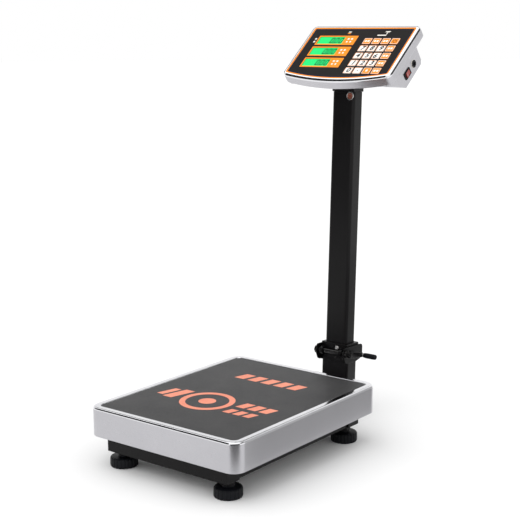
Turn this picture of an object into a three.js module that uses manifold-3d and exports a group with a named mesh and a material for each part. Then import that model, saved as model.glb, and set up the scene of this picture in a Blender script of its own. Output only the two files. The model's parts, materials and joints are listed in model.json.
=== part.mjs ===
// Platform shipping scale: a 400 x 500 mm weighing platform on a steel base frame, with a column
// behind it that folds forward over the platform and carries the indicator head.
// Millimetres. +Z is up, +Y runs from the operator towards the column, +X is the operator's right.
// The origin is on the ground, under the middle of the whole scale's footprint.
import * as THREE from 'three';
import { mergeVertices } from 'three/addons/utils/BufferGeometryUtils.js';
import Module from 'manifold-3d';

const wasm = await Module();
wasm.setup();

// ---- Driving dimensions ----

const GAP = 0.3;                      // air between pieces that touch on the real scale

const PLATFORM_WIDTH = 400;
const PLATFORM_DEPTH = 500;
const PLATFORM_CENTRE_Y = -131.27;    // from the origin to the middle of the platform
const PAN_BOTTOM = 68;
const PAN_TOP = 131;
const PAN_CORNER = 28;
const PAN_EDGE_ROUND = 5;
const PAN_SHEET = 1.2;
const RIM_WIDTH = 16.8;
const MAT_TOP = 130;
const MAT_THICKNESS = 3;
const PAN_FLOOR = MAT_TOP - MAT_THICKNESS - GAP;       // sheet that the mat lies on

const FRAME_BOTTOM = 35;
const FRAME_TOP = 72;
const FRAME_WALL = 2.5;
const DRAIN_RADIUS = 3;               // drain hole under each closed bar
const BOSS_WIDTH = 32;                // nut blocks that the feet screw into
const BOSS_DEPTH = 18;
const CROSS_BAR_HALF = 162;
const CROSS_BAR_Y = 212;
const BAR_WIDTH = 40;
const RAIL_OUTER_X = 158;
const FOOT_X = 142;
const FOOT_Y = 204;
const FOOT_RADIUS = 29.5;
const FOOT_GROOVE = 1.6;
const FOOT_HEIGHT = 21.5;
const STUD_RADIUS = 5;
const STUD_TOP = 66;
const NUT_BOTTOM = 26;
const CHANNEL_END_Y = 418;
const CHANNEL_FLOOR = 43;
const CHANNEL_TOP = 66;
const CHANNEL_SHEET = 3;

const CELL_LENGTH = 130;
const CELL_WIDTH = 30;
const CELL_BOTTOM = 66;
const CELL_TOP = 94;
const CELL_BORE_RADIUS = 9;
const CELL_BORE_Y = 18;
const CELL_SLOT_HEIGHT = 8;
const CELL_END_Y = 44;                // where each end of the cell is screwed down
const SEAT_HALF_X = 20;
const SEAT_HALF_Y = 20;
const BEAM_WIDTH = 44;
const BEAM_TOP = 60;
const TOP_FRAME_BOTTOM = 100;
const TOP_FRAME_TOP = 117;
const TOP_FRAME_HALF_X = 172;
const TOP_FRAME_Y = 185;
const TOP_BAR_WIDTH = 32;
const SPINE_X = 45;
const SPINE_WIDTH = 30;
const PAD_X = 155;
const PAD_RADIUS = 12;

const FOLD_Y = 362;                   // clamp rod, which is also the hinge pin of the column
const FOLD_Z = 146.5;
const LEAN = 2.4;                     // degrees that the column leans back
const COLUMN_FRONT = 13.4;            // front face of post and tube, behind the rod
const POST_WIDTH = 74;
const POST_DEPTH = 38;
const POST_CORNER = 4;
const POST_WALL = 2.5;
const POST_BOTTOM = -100.5;
const POST_TOP = -6.4;
const TUBE_WIDTH = 60;
const TUBE_DEPTH = 40;
const TUBE_BOTTOM = 4;
const TUBE_TOP = 615;
const TUBE_CORNER = 7.5;
const TUBE_WALL = 2;
const PLUG_CLEARANCE = 2.2;           // of the head bracket's square plug in the tube's round corners
const PLUG_LENGTH = 28;
const CAP_X = 20;
const CAP_Z = 605.5;
const CAP_RADIUS = 9.5;
const CAP_THICKNESS = 2.4;

const ROD_RADIUS = 5;
const CHEEK_INNER = POST_WIDTH / 2 + 0.4;
const CHEEK_OUTER = CHEEK_INNER + 3.2;
const CHEEK_BACK = 71;
const CHEEK_TOP = 14.5;
const CHEEK_BOTTOM = -25;
const PLATE_FRONT = 9.9;              // plate under the rod, between the cheeks
const PLATE_TOP = -3;
const SEAT_BOTTOM = -6;
const SEAT_TOP = -2.5;
const CHEEK_STOP_TOP = 12;
const EYE_RADIUS = 9;
const EYE_INNER_X = 23;
const EYE_OUTER_X = 31;
const COLLAR_HALF = CHEEK_INNER - 0.6;
const COLLAR_BACK = 60;
const COLLAR_SIDE_FRONT = 9.5;
const COLLAR_BOW = 3.5;                // control line of the bowed front
const COLLAR_BOTTOM = -1.9;
const COLLAR_TOP = 19.5;
const COLLAR_SHELF = 3.4;             // inside the collar, under the tube
const SCREW_X = 10;                   // screw in the middle of the collar's front
const SCREW_Z = 9.8;
const SCREW_RADIUS = 5;
const SCREW_HEIGHT = 3;
const ROD_START = 48.5;
const ROD_END = 58;
const NUT_RADIUS = 9.5;
const NUT_OUTER = 46.5;
const SHOULDER_RADIUS = 9;
const SHOULDER_END = 46;
const CRANK_X = 50;
const CRANK_THICKNESS = 6;
const CRANK_HUB_RADIUS = 8;
const CRANK_TIP_RADIUS = 6;
const CRANK_REACH_Y = 46.5;
const CRANK_REACH_Z = -7.5;
const PIN_RADIUS = 3;
const PIN_LENGTH = 40;
const GRIP_RADIUS = 6.3;
const GRIP_LENGTH = 39;
const GRIP_BORE = 3.3;

const FACE_Y = 367;                   // lower corner line of the panel border
const FACE_Z = 805;
const FACE_TILT = 39.3;               // degrees from horizontal
const FACE_HALF = 140;
const FACE_HEIGHT = 158;
const FACE_BULGE = 18;                // how far the lower edge bows forward
const SHELL_GROW = 9;                 // shell's outline outside the panel border
const SHELL_CORNER = 13;
const SHELL_EDGE_ROUND = 7;
const SHELL_WALL = 2;
const TRAY_DEPTH = 29;                // height of the shell's wall all round the face
const TRAY_EDGE_ROUND = 5;
const LEDGE_DEPTH = 3.7;
const PANEL_DEPTH = 1;                // top of the face panel below the shell's crest
const PANEL_THICKNESS = 2.4;
const BOX_INSET = 3;                  // of the deep back of the shell from its wall
const BOX_HALF = FACE_HALF + SHELL_GROW - BOX_INSET;
const BOX_CORNER = 18;
const BOX_DEPTH = 73;
const BOX_START_V = -12;              // foot of the slope under the tray
const BOX_LOW_V = 34.7;               // lower and upper edge of the flat back
const BOX_HIGH_V = 116;
const BOX_TOP_V = 124;                // step between the box and the wall above it
const BACK_OPENING = [240, 56];
const COVER = [256, 70];
const COVER_SHEET = 1.5;

const KEY_COLUMNS = 4;
const KEY_ROWS = 5;
const KEY_WIDTH = 21;
const KEY_HEIGHT = 20;
const KEY_PITCH_X = 24.8;
const KEY_PITCH_Y = 25.4;
const KEY_FIRST_X = 31;
const KEY_FIRST_Y = 111;
const KEY_PROUD = 0.6;
const KEY_BACK = 4;

const WINDOW_WIDTH = 72;
const WINDOW_HEIGHT = 25.5;
const WINDOW_X = -72.3;
const WINDOW_TOP_Y = 113.5;
const WINDOW_PITCH = 39.2;

const SWITCH_V = 57.5;                // place on the head's right side, up the slope and below the face
const SWITCH_W = 50;
const BEZEL = [27, 18];
const SWITCH_BODY = [22, 15];
const WELL = [19.8, 12.8];
const ROCKER_PIVOT = 2.5;             // below the bezel's face
const SOCKET_V = 91;
const SOCKET_W = 50;
const FLANGE_RADIUS = 9;
const BARREL_RADIUS = 7;
const SOCKET_BORE = 4;
const FLANGE = 1.8;                   // thickness of bezel and socket flange

// ---- Materials ----

const finish = (color, roughness, metalness) => (
  new THREE.MeshStandardMaterial({ color, roughness, metalness })
);
const stainless = () => finish(0xb9b7bd, 0.3, 1);
const blackPaint = () => finish(0x141314, 0.4, 0.2);
const blackPlastic = () => finish(0x0f1012, 0.5, 0);
const zinc = () => finish(0x9a9a9c, 0.35, 1);

// ---- Solids: three.js shapes, turned into closed solids that can be joined and cut ----

const solid = (geometry) => {
  const bare = new THREE.BufferGeometry();
  bare.setAttribute('position', geometry.getAttribute('position'));
  bare.setIndex(geometry.index);
  const merged = mergeVertices(bare, 1e-4);
  return new wasm.Manifold(new wasm.Mesh({
    numProp: 3,
    vertProperties: merged.getAttribute('position').array,
    triVerts: new Uint32Array(merged.index.array),
  }));
};

const join = (solids) => solids.reduce((all, next) => all.add(next));

const box = ([x0, x1], [y0, y1], [z0, z1]) => {
  const geometry = new THREE.BoxGeometry(x1 - x0, y1 - y0, z1 - z0);
  geometry.translate((x0 + x1) / 2, (y0 + y1) / 2, (z0 + z1) / 2);
  return solid(geometry);
};

// A prism standing on z0, with its edges rounded at both ends when round is given.
// Each quarter-round corner of the outline gets twice as many facets as curveSegments.
const prismZ = (shape, z0, z1, round = 0, bevelSegments = 2, curveSegments = 3) => {
  const geometry = new THREE.ExtrudeGeometry(shape, {
    depth: z1 - z0 - 2 * round,
    bevelEnabled: round > 0,
    bevelThickness: round,
    bevelSize: round,
    bevelOffset: -round,
    bevelSegments,
    curveSegments,
  });
  geometry.translate(0, 0, z0 + round);
  return solid(geometry);
};

// A prism along X whose outline is drawn in Y and Z.
const alongX = new THREE.Matrix4().makeBasis(
  new THREE.Vector3(0, 1, 0),
  new THREE.Vector3(0, 0, 1),
  new THREE.Vector3(1, 0, 0),
);
const prismX = (shape, x0, x1) => {
  const geometry = new THREE.ExtrudeGeometry(shape, {
    depth: x1 - x0,
    bevelEnabled: false,
    curveSegments: 6,
  });
  geometry.translate(0, 0, x0);
  geometry.applyMatrix4(alongX);
  return solid(geometry);
};

const rodZ = (radius, z0, z1, x = 0, y = 0, sides = 24) => {
  const geometry = new THREE.CylinderGeometry(radius, radius, z1 - z0, sides);
  geometry.rotateX(Math.PI / 2);
  geometry.translate(x, y, (z0 + z1) / 2);
  return solid(geometry);
};

const rodX = (radius, x0, x1, y = 0, z = 0, sides = 24) => {
  const geometry = new THREE.CylinderGeometry(radius, radius, x1 - x0, sides);
  geometry.rotateZ(Math.PI / 2);
  geometry.translate((x0 + x1) / 2, y, z);
  return solid(geometry);
};

// A turned piece along X from a profile of [radius, x] points.
const turnedX = (profile, y, z, sides = 24) => {
  const points = profile.map(([radius, x]) => new THREE.Vector2(radius, x));
  const geometry = new THREE.LatheGeometry(points, sides);
  geometry.rotateZ(-Math.PI / 2);
  geometry.translate(0, y, z);
  return solid(geometry);
};

// ---- Outlines ----

const polygon = (points) => new THREE.Shape(points.map(([x, y]) => new THREE.Vector2(x, y)));

const roundedRect = (width, height, radius, cx = 0, cy = 0) => {
  const [right, top] = [width / 2, height / 2];
  const shape = new THREE.Shape();
  shape.absarc(cx + right - radius, cy + top - radius, radius, 0, Math.PI / 2);
  shape.absarc(cx - right + radius, cy + top - radius, radius, Math.PI / 2, Math.PI);
  shape.absarc(cx - right + radius, cy - top + radius, radius, Math.PI, 1.5 * Math.PI);
  shape.absarc(cx + right - radius, cy - top + radius, radius, 1.5 * Math.PI, 2 * Math.PI);
  return shape;
};

// Moves every side of a counter-clockwise polygon inwards.
const insetPolygon = (points, distance) => {
  const count = points.length;
  const sides = points.map(([x, y], i) => {
    const [nextX, nextY] = points[(i + 1) % count];
    const length = Math.hypot(nextX - x, nextY - y);
    const [dx, dy] = [(nextX - x) / length, (nextY - y) / length];
    return { x: x - dy * distance, y: y + dx * distance, dx, dy };
  });
  return sides.map((side, i) => {
    const before = sides[(i + count - 1) % count];
    const turn = before.dx * side.dy - before.dy * side.dx;
    const along = ((side.x - before.x) * side.dy - (side.y - before.y) * side.dx) / turn;
    return [before.x + before.dx * along, before.y + before.dy * along];
  });
};

// ---- Scene graph ----

const object = new THREE.Group();
object.position.y = PLATFORM_CENTRE_Y;

// The column's frame: origin on the clamp rod, +Z up the column, +Y to its back.
const column = new THREE.Group();
column.position.set(0, FOLD_Y, FOLD_Z);
column.rotation.x = THREE.MathUtils.degToRad(-LEAN);
object.add(column);

// The head's frame: origin at the middle of the panel's lower corners, +Y up the face, +Z out of it.
const head = new THREE.Group();
head.position.set(0, FACE_Y, FACE_Z);
head.rotation.x = THREE.MathUtils.degToRad(FACE_TILT);
object.add(head);

const addPart = (parent, name, shape, material) => {
  const mesh = shape.getMesh();
  const geometry = new THREE.BufferGeometry();
  geometry.setAttribute('position', new THREE.BufferAttribute(mesh.vertProperties, 3));
  geometry.setIndex(new THREE.BufferAttribute(mesh.triVerts, 1));
  geometry.computeVertexNormals();
  const part = new THREE.Mesh(geometry, material);
  part.name = name;
  parent.add(part);
};

// ---- Platform ----

const panOutline = (inset) => roundedRect(
  PLATFORM_WIDTH - 2 * inset,
  PLATFORM_DEPTH - 2 * inset,
  PAN_CORNER - inset,
);

// A deep-drawn sheet: skirt, rounded edge, raised rim, and a floor sunk below the rim for the mat.
const platformPan = () => {
  const below = PAN_BOTTOM - 2 * PAN_EDGE_ROUND;
  const blank = prismZ(panOutline(0), below, PAN_TOP, PAN_EDGE_ROUND, 3);
  const skirtCut = box([-PLATFORM_WIDTH, PLATFORM_WIDTH], [-PLATFORM_DEPTH, PLATFORM_DEPTH], [0, PAN_BOTTOM]);
  const inside = prismZ(panOutline(PAN_SHEET), 0, PAN_FLOOR - PAN_SHEET);
  const rimHollow = prismZ(panOutline(PAN_SHEET + 1.4), 0, PAN_TOP - PAN_SHEET - 0.6)
    .subtract(prismZ(panOutline(RIM_WIDTH - PAN_SHEET), -1, PAN_TOP));
  const matRecess = prismZ(panOutline(RIM_WIDTH), PAN_FLOOR, PAN_TOP + 1);
  return blank.subtract(skirtCut).subtract(inside).subtract(rimHollow).subtract(matRecess);
};

const platformMat = () => prismZ(panOutline(RIM_WIDTH + GAP), MAT_TOP - MAT_THICKNESS, MAT_TOP);

// ---- Base frame ----

// A closed rectangular bar with a drain hole through the middle of its underside.
const hollowBar = ([x0, x1], [y0, y1], [z0, z1], wall = FRAME_WALL) => (
  box([x0, x1], [y0, y1], [z0, z1])
    .subtract(box([x0 + wall, x1 - wall], [y0 + wall, y1 - wall], [z0 + wall, z1 - wall]))
    .subtract(rodZ(DRAIN_RADIUS, z0 - 1, z0 + wall + 1, (x0 + x1) / 2, (y0 + y1) / 2, 12))
);

const footPlaces = [
  ['front_left', -FOOT_X, -FOOT_Y],
  ['front_right', FOOT_X, -FOOT_Y],
  ['rear_left', -FOOT_X, FOOT_Y],
  ['rear_right', FOOT_X, FOOT_Y],
];

// Every joined bar ends halfway into the wall of the bar that it is welded to.
const baseFrame = () => {
  const half = BAR_WIDTH / 2;
  const weld = FRAME_WALL / 2;
  const crossBars = [-CROSS_BAR_Y, CROSS_BAR_Y].map((y) => (
    hollowBar([-CROSS_BAR_HALF, CROSS_BAR_HALF], [y - half, y + half], [FRAME_BOTTOM, FRAME_TOP])
  ));
  const railEnd = CROSS_BAR_Y - half + weld;
  const rails = [-1, 1].map((side) => {
    const middle = side * (RAIL_OUTER_X - half);
    return hollowBar([middle - half, middle + half], [-railEnd, railEnd], [FRAME_BOTTOM + 0.4, FRAME_TOP - 0.4]);
  });
  const beamEnd = RAIL_OUTER_X - BAR_WIDTH + weld;
  const beamY = [-CELL_END_Y - BEAM_WIDTH / 2, -CELL_END_Y + BEAM_WIDTH / 2];
  const cellBeam = hollowBar([-beamEnd, beamEnd], beamY, [FRAME_BOTTOM + 1, BEAM_TOP]);
  const cellSeat = box(
    [-SEAT_HALF_X, SEAT_HALF_X],
    [-CELL_END_Y - SEAT_HALF_Y, -CELL_END_Y + SEAT_HALF_Y],
    [BEAM_TOP - weld, CELL_BOTTOM - GAP],
  );
  const bosses = footPlaces.map(([, x, y]) => box(
    [x - BOSS_WIDTH / 2, x + BOSS_WIDTH / 2],
    [y - BOSS_DEPTH / 2, y + BOSS_DEPTH / 2],
    [FRAME_BOTTOM + weld, FRAME_TOP - weld],
  ));
  const studHoles = footPlaces.map(([, x, y]) => rodZ(STUD_RADIUS + GAP, 0, STUD_TOP + 2, x, y));
  const welded = join([...crossBars, ...rails, cellBeam, cellSeat, ...bosses, columnChannel()]);
  return studHoles.reduce((rest, hole) => rest.subtract(hole), welded);
};

// Open channel behind the rear bar, in which the post stands.
const columnChannel = () => {
  const start = CROSS_BAR_Y + BAR_WIDTH / 2;
  const outside = box(
    [-CHEEK_OUTER, CHEEK_OUTER],
    [start - FRAME_WALL / 2, CHANNEL_END_Y],
    [CHANNEL_FLOOR - CHANNEL_SHEET, CHANNEL_TOP],
  );
  const inside = box([-CHEEK_INNER, CHEEK_INNER], [start + 1, CHANNEL_END_Y + 1], [CHANNEL_FLOOR, CHANNEL_TOP + 1]);
  return outside.subtract(inside);
};

// Knob with gripping ribs, moulded round the head of its threaded stud.
const footKnob = () => {
  const ribs = 22;
  const points = [];
  for (let i = 0; i < ribs; i += 1) {
    for (const [part, groove] of [[0, 0], [0.45, 0], [0.72, FOOT_GROOVE]]) {
      const angle = ((i + part) / ribs) * 2 * Math.PI;
      points.push([(FOOT_RADIUS - groove) * Math.cos(angle), (FOOT_RADIUS - groove) * Math.sin(angle)]);
    }
  }
  return prismZ(polygon(points), 0, FOOT_HEIGHT, 2.2)
    .add(rodZ(13, FOOT_HEIGHT - 1, NUT_BOTTOM - 1))
    .add(rodZ(STUD_RADIUS, FOOT_HEIGHT, STUD_TOP));
};

const jamNut = () => rodZ(14, NUT_BOTTOM, FRAME_BOTTOM - GAP, 0, 0, 6)
  .subtract(rodZ(STUD_RADIUS + GAP, 0, FRAME_TOP));

const addFeet = () => {
  for (const [place, x, y] of footPlaces) {
    const foot = new THREE.Group();
    foot.position.set(x, y, 0);
    object.add(foot);
    addPart(foot, `foot_knob_${place}`, footKnob(), blackPlastic());
    addPart(foot, `foot_jam_nut_${place}`, jamNut(), blackPaint());
  }
};

// ---- Weighing works under the pan ----

// Single-point load cell: a bar bored through from side to side, so that its ends flex.
const loadCell = () => {
  const half = CELL_LENGTH / 2;
  const middle = (CELL_BOTTOM + CELL_TOP) / 2;
  const bar = box([-CELL_WIDTH / 2, CELL_WIDTH / 2], [-half, half], [CELL_BOTTOM, CELL_TOP]);
  const bores = [-CELL_BORE_Y, CELL_BORE_Y].map((y) => (
    rodX(CELL_BORE_RADIUS, -CELL_WIDTH, CELL_WIDTH, y, middle, 20)
  ));
  const slot = box(
    [-CELL_WIDTH, CELL_WIDTH],
    [-CELL_BORE_Y, CELL_BORE_Y],
    [middle - CELL_SLOT_HEIGHT / 2, middle + CELL_SLOT_HEIGHT / 2],
  );
  return [...bores, slot].reduce((rest, hole) => rest.subtract(hole), bar);
};

const topFrame = () => {
  const half = TOP_BAR_WIDTH / 2;
  const weld = FRAME_WALL / 2;
  const crossBars = [-TOP_FRAME_Y, TOP_FRAME_Y].map((y) => hollowBar(
    [-TOP_FRAME_HALF_X, TOP_FRAME_HALF_X],
    [y - half, y + half],
    [TOP_FRAME_BOTTOM, TOP_FRAME_TOP],
  ));
  const spineEnd = TOP_FRAME_Y - half + weld;
  const spines = [-SPINE_X, SPINE_X].map((x) => hollowBar(
    [x - SPINE_WIDTH / 2, x + SPINE_WIDTH / 2],
    [-spineEnd, spineEnd],
    [TOP_FRAME_BOTTOM + 0.4, TOP_FRAME_TOP - 0.4],
  ));
  const plateHalf = SPINE_X - SPINE_WIDTH / 2 + weld;
  const plate = box(
    [-plateHalf, plateHalf],
    [CELL_END_Y - SPINE_WIDTH, CELL_END_Y + SPINE_WIDTH],
    [TOP_FRAME_TOP - 5, TOP_FRAME_TOP - 1],
  );
  const cellSeat = box(
    [-SEAT_HALF_X, SEAT_HALF_X],
    [CELL_END_Y - SEAT_HALF_Y, CELL_END_Y + SEAT_HALF_Y],
    [CELL_TOP + GAP, TOP_FRAME_TOP - 3],
  );
  return join([...crossBars, ...spines, plate, cellSeat]);
};

const addPads = () => {
  for (const [place, sx, sy] of [
    ['front_left', -1, -1],
    ['front_right', 1, -1],
    ['rear_left', -1, 1],
    ['rear_right', 1, 1],
  ]) {
    const pad = rodZ(PAD_RADIUS, TOP_FRAME_TOP + GAP, PAN_FLOOR - PAN_SHEET - GAP, sx * PAD_X, sy * TOP_FRAME_Y);
    addPart(object, `pan_pad_${place}`, pad, finish(0x1b1b1b, 0.9, 0));
  }
};

// ---- Post and folding joint, in the column's frame ----

const tube = (width, depth, radius, wall, z0, z1) => {
  const middle = COLUMN_FRONT + depth / 2;
  const outer = prismZ(roundedRect(width, depth, radius, 0, middle), z0, z1);
  const bore = roundedRect(width - 2 * wall, depth - 2 * wall, radius - wall, 0, middle);
  return outer.subtract(prismZ(bore, z0 - 1, z1 + 1));
};

// The tube's outline with the given clearance all round it.
const tubeOutline = (clearance) => roundedRect(
  TUBE_WIDTH + 2 * clearance,
  TUBE_DEPTH + 2 * clearance,
  TUBE_CORNER + clearance,
  0,
  COLUMN_FRONT + TUBE_DEPTH / 2,
);

// Cheek of the bracket: a plate with rounded corners that reaches in front of the rod.
const cheekOutline = () => {
  const shape = new THREE.Shape();
  shape.moveTo(CHEEK_BACK, 6);
  shape.quadraticCurveTo(CHEEK_BACK, CHEEK_TOP, CHEEK_BACK - 8, CHEEK_TOP);
  shape.lineTo(-1, CHEEK_TOP);
  shape.quadraticCurveTo(-7, CHEEK_TOP, -7.6, 8.5);
  shape.lineTo(-9.8, -5);
  shape.lineTo(-3.5, -19);
  shape.quadraticCurveTo(0, CHEEK_BOTTOM + 0.8, 9, CHEEK_BOTTOM);
  shape.lineTo(CHEEK_BACK - 26, CHEEK_BOTTOM);
  shape.lineTo(CHEEK_BACK - 9, CHEEK_BOTTOM + 4);
  shape.lineTo(CHEEK_BACK, -10);
  return shape;
};

// U-shaped bracket on the post: two cheeks, a plate under the rod, a seat on the post and a back stop.
const hingeBaseBracket = () => {
  const cheeks = [[-CHEEK_OUTER, -CHEEK_INNER], [CHEEK_INNER, CHEEK_OUTER]]
    .map(([x0, x1]) => prismX(cheekOutline(), x0, x1));
  const wide = [-CHEEK_OUTER + 1, CHEEK_OUTER - 1];
  const front = box(wide, [PLATE_FRONT, COLUMN_FRONT - 0.4], [CHEEK_BOTTOM, PLATE_TOP]);
  const seat = box(wide, [PLATE_FRONT, CHEEK_BACK - 1], [SEAT_BOTTOM, SEAT_TOP]);
  const back = box(wide, [CHEEK_BACK - 4.2, CHEEK_BACK - 1], [SEAT_BOTTOM, CHEEK_STOP_TOP]);
  const bracket = join([...cheeks, front, seat, back]);
  return bracket.subtract(rodX(ROD_RADIUS + GAP, -CHEEK_OUTER - 1, CHEEK_OUTER + 1));
};

// Collar round the tube's foot, with two eyes that hang on the clamp rod.
const hingeCollar = () => {
  const outline = new THREE.Shape();
  outline.moveTo(COLLAR_HALF, COLLAR_BACK);
  outline.lineTo(-COLLAR_HALF, COLLAR_BACK);
  outline.lineTo(-COLLAR_HALF, COLLAR_SIDE_FRONT);
  outline.quadraticCurveTo(0, COLLAR_BOW, COLLAR_HALF, COLLAR_SIDE_FRONT);
  const sleeve = prismZ(outline, COLLAR_BOTTOM, COLLAR_TOP)
    .subtract(prismZ(tubeOutline(GAP), COLLAR_SHELF, COLLAR_TOP + 1));
  const eyes = [[-EYE_OUTER_X, -EYE_INNER_X], [EYE_INNER_X, EYE_OUTER_X]].map(([x0, x1]) => {
    const web = box([x0, x1], [0, COLLAR_SIDE_FRONT + 2], [COLLAR_BOTTOM + 0.3, EYE_RADIUS - 0.2]);
    return rodX(EYE_RADIUS, x0, x1).add(web);
  });
  return join([sleeve, ...eyes]).subtract(rodX(ROD_RADIUS + GAP, -COLLAR_HALF - 1, COLLAR_HALF + 1));
};

// Hex screw with its washer, in the collar's front above the rod.
const collarScrew = () => {
  const back = (COLLAR_SIDE_FRONT + COLLAR_BOW) / 2 - 0.2;
  const washer = new THREE.CylinderGeometry(SCREW_RADIUS + 1, SCREW_RADIUS + 1, 1, 24);
  washer.translate(SCREW_X, back - 0.5, SCREW_Z);
  const hex = new THREE.CylinderGeometry(SCREW_RADIUS, SCREW_RADIUS, SCREW_HEIGHT, 6);
  hex.translate(SCREW_X, back - SCREW_HEIGHT / 2, SCREW_Z);
  return solid(washer).add(solid(hex));
};

// Clamp rod with the shoulder that bears on the right cheek.
const clampRod = () => turnedX([
  [0, -ROD_START],
  [ROD_RADIUS - 0.6, -ROD_START],
  [ROD_RADIUS, -ROD_START + 0.6],
  [ROD_RADIUS, CHEEK_OUTER + GAP],
  [SHOULDER_RADIUS, CHEEK_OUTER + GAP],
  [SHOULDER_RADIUS, SHOULDER_END],
  [ROD_RADIUS, SHOULDER_END],
  [ROD_RADIUS, ROD_END],
  [0, ROD_END],
], 0, 0);

const rodNut = () => rodX(NUT_RADIUS, -NUT_OUTER, -CHEEK_OUTER - GAP, 0, 0, 6)
  .subtract(rodX(ROD_RADIUS + GAP, -ROD_END, 0));

// Arm from the rod's hub back to the grip's pin.
const crankArm = () => {
  const lean = Math.atan2(CRANK_REACH_Z, CRANK_REACH_Y);
  const quarter = Math.PI / 2;
  const outline = new THREE.Shape();
  outline.absarc(0, 0, CRANK_HUB_RADIUS, lean + quarter, lean + 3 * quarter);
  outline.absarc(CRANK_REACH_Y, CRANK_REACH_Z, CRANK_TIP_RADIUS, lean - quarter, lean + quarter);
  const bar = prismX(outline, CRANK_X, CRANK_X + CRANK_THICKNESS);
  const hub = rodX(CRANK_HUB_RADIUS, CRANK_X - 3, CRANK_X + CRANK_THICKNESS);
  const pin = rodX(PIN_RADIUS, CRANK_X + 1, CRANK_X + PIN_LENGTH, CRANK_REACH_Y, CRANK_REACH_Z, 16);
  return join([bar, hub, pin]).subtract(rodX(ROD_RADIUS + 0.1, 0, 2 * ROD_END));
};

// Grip that spins on the pin: necked at its inner end, rounded at its outer end, bored blind.
const crankGrip = () => {
  const start = CRANK_X + CRANK_THICKNESS + 0.8;
  const end = start + GRIP_LENGTH;
  const bottom = CRANK_X + PIN_LENGTH + 1;
  return turnedX([
    [GRIP_BORE, start],
    [GRIP_BORE + 1.3, start],
    [GRIP_RADIUS - 0.6, start + 3],
    [GRIP_RADIUS, start + 12],
    [GRIP_RADIUS, end - 4],
    [GRIP_RADIUS - 2, end - 0.8],
    [GRIP_RADIUS - 4, end],
    [0, end],
    [0, bottom],
    [GRIP_BORE, bottom],
    [GRIP_BORE, start],
  ], CRANK_REACH_Y, CRANK_REACH_Z);
};

// Round cap on the tube's front face: the screw that holds the head's bracket is under it.
const bracketScrewCap = () => {
  const cap = new THREE.CylinderGeometry(CAP_RADIUS, CAP_RADIUS - 1.2, CAP_THICKNESS, 28);
  cap.translate(CAP_X, COLUMN_FRONT - GAP - CAP_THICKNESS / 2, CAP_Z);
  return solid(cap);
};

// ---- Indicator head ----

// Outline of the face, grown or shrunk: straight top and sides, a lower edge on one large arc.
const faceOutline = (grow, corner) => {
  const radius = (FACE_HALF ** 2) / (2 * FACE_BULGE) + FACE_BULGE / 2 + grow;
  const centre = radius - grow - FACE_BULGE;
  const half = FACE_HALF + grow;
  const top = FACE_HEIGHT + grow;
  const arcY = (x) => centre - Math.sqrt(radius ** 2 - x ** 2);
  const end = Math.asin((half - corner) / radius);
  const shape = new THREE.Shape();
  shape.moveTo(half, top - corner);
  shape.quadraticCurveTo(half, top, half - corner, top);
  shape.lineTo(-half + corner, top);
  shape.quadraticCurveTo(-half, top, -half, top - corner);
  shape.lineTo(-half, arcY(half) + corner);
  shape.quadraticCurveTo(-half, arcY(half), -half + corner, arcY(half - corner));
  for (let step = 1; step <= 16; step += 1) {
    const angle = -end + (2 * end * step) / 16;
    shape.lineTo(radius * Math.sin(angle), centre - radius * Math.cos(angle));
  }
  shape.quadraticCurveTo(half, arcY(half), half, arcY(half) + corner);
  return shape;
};

// Side view of the shell's deep back, up the slope and out of the face: counter-clockwise.
const boxSide = (inset) => insetPolygon([
  [BOX_START_V, -TRAY_DEPTH / 2],
  [BOX_START_V, -TRAY_DEPTH + SHELL_WALL],
  [BOX_LOW_V, -BOX_DEPTH],
  [BOX_HIGH_V, -BOX_DEPTH],
  [BOX_TOP_V - 1.5, -BOX_DEPTH + 7],
  [BOX_TOP_V, -TRAY_DEPTH / 2],
], inset);

// The deep back: the face's outline a little smaller, cut to its side view.
const deepBack = (inset) => {
  const wide = BOX_HALF + 10;
  const grow = SHELL_GROW - BOX_INSET - inset;
  return prismZ(faceOutline(grow, BOX_CORNER - inset), -BOX_DEPTH - 10, 0)
    .intersect(prismX(polygon(boxSide(inset)), -wide, wide));
};

const sideHole = (v, w, [width, height]) => box(
  [FACE_HALF, BOX_HALF + 20],
  [v - width / 2, v + width / 2],
  [-w - height / 2, -w + height / 2],
);

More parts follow.
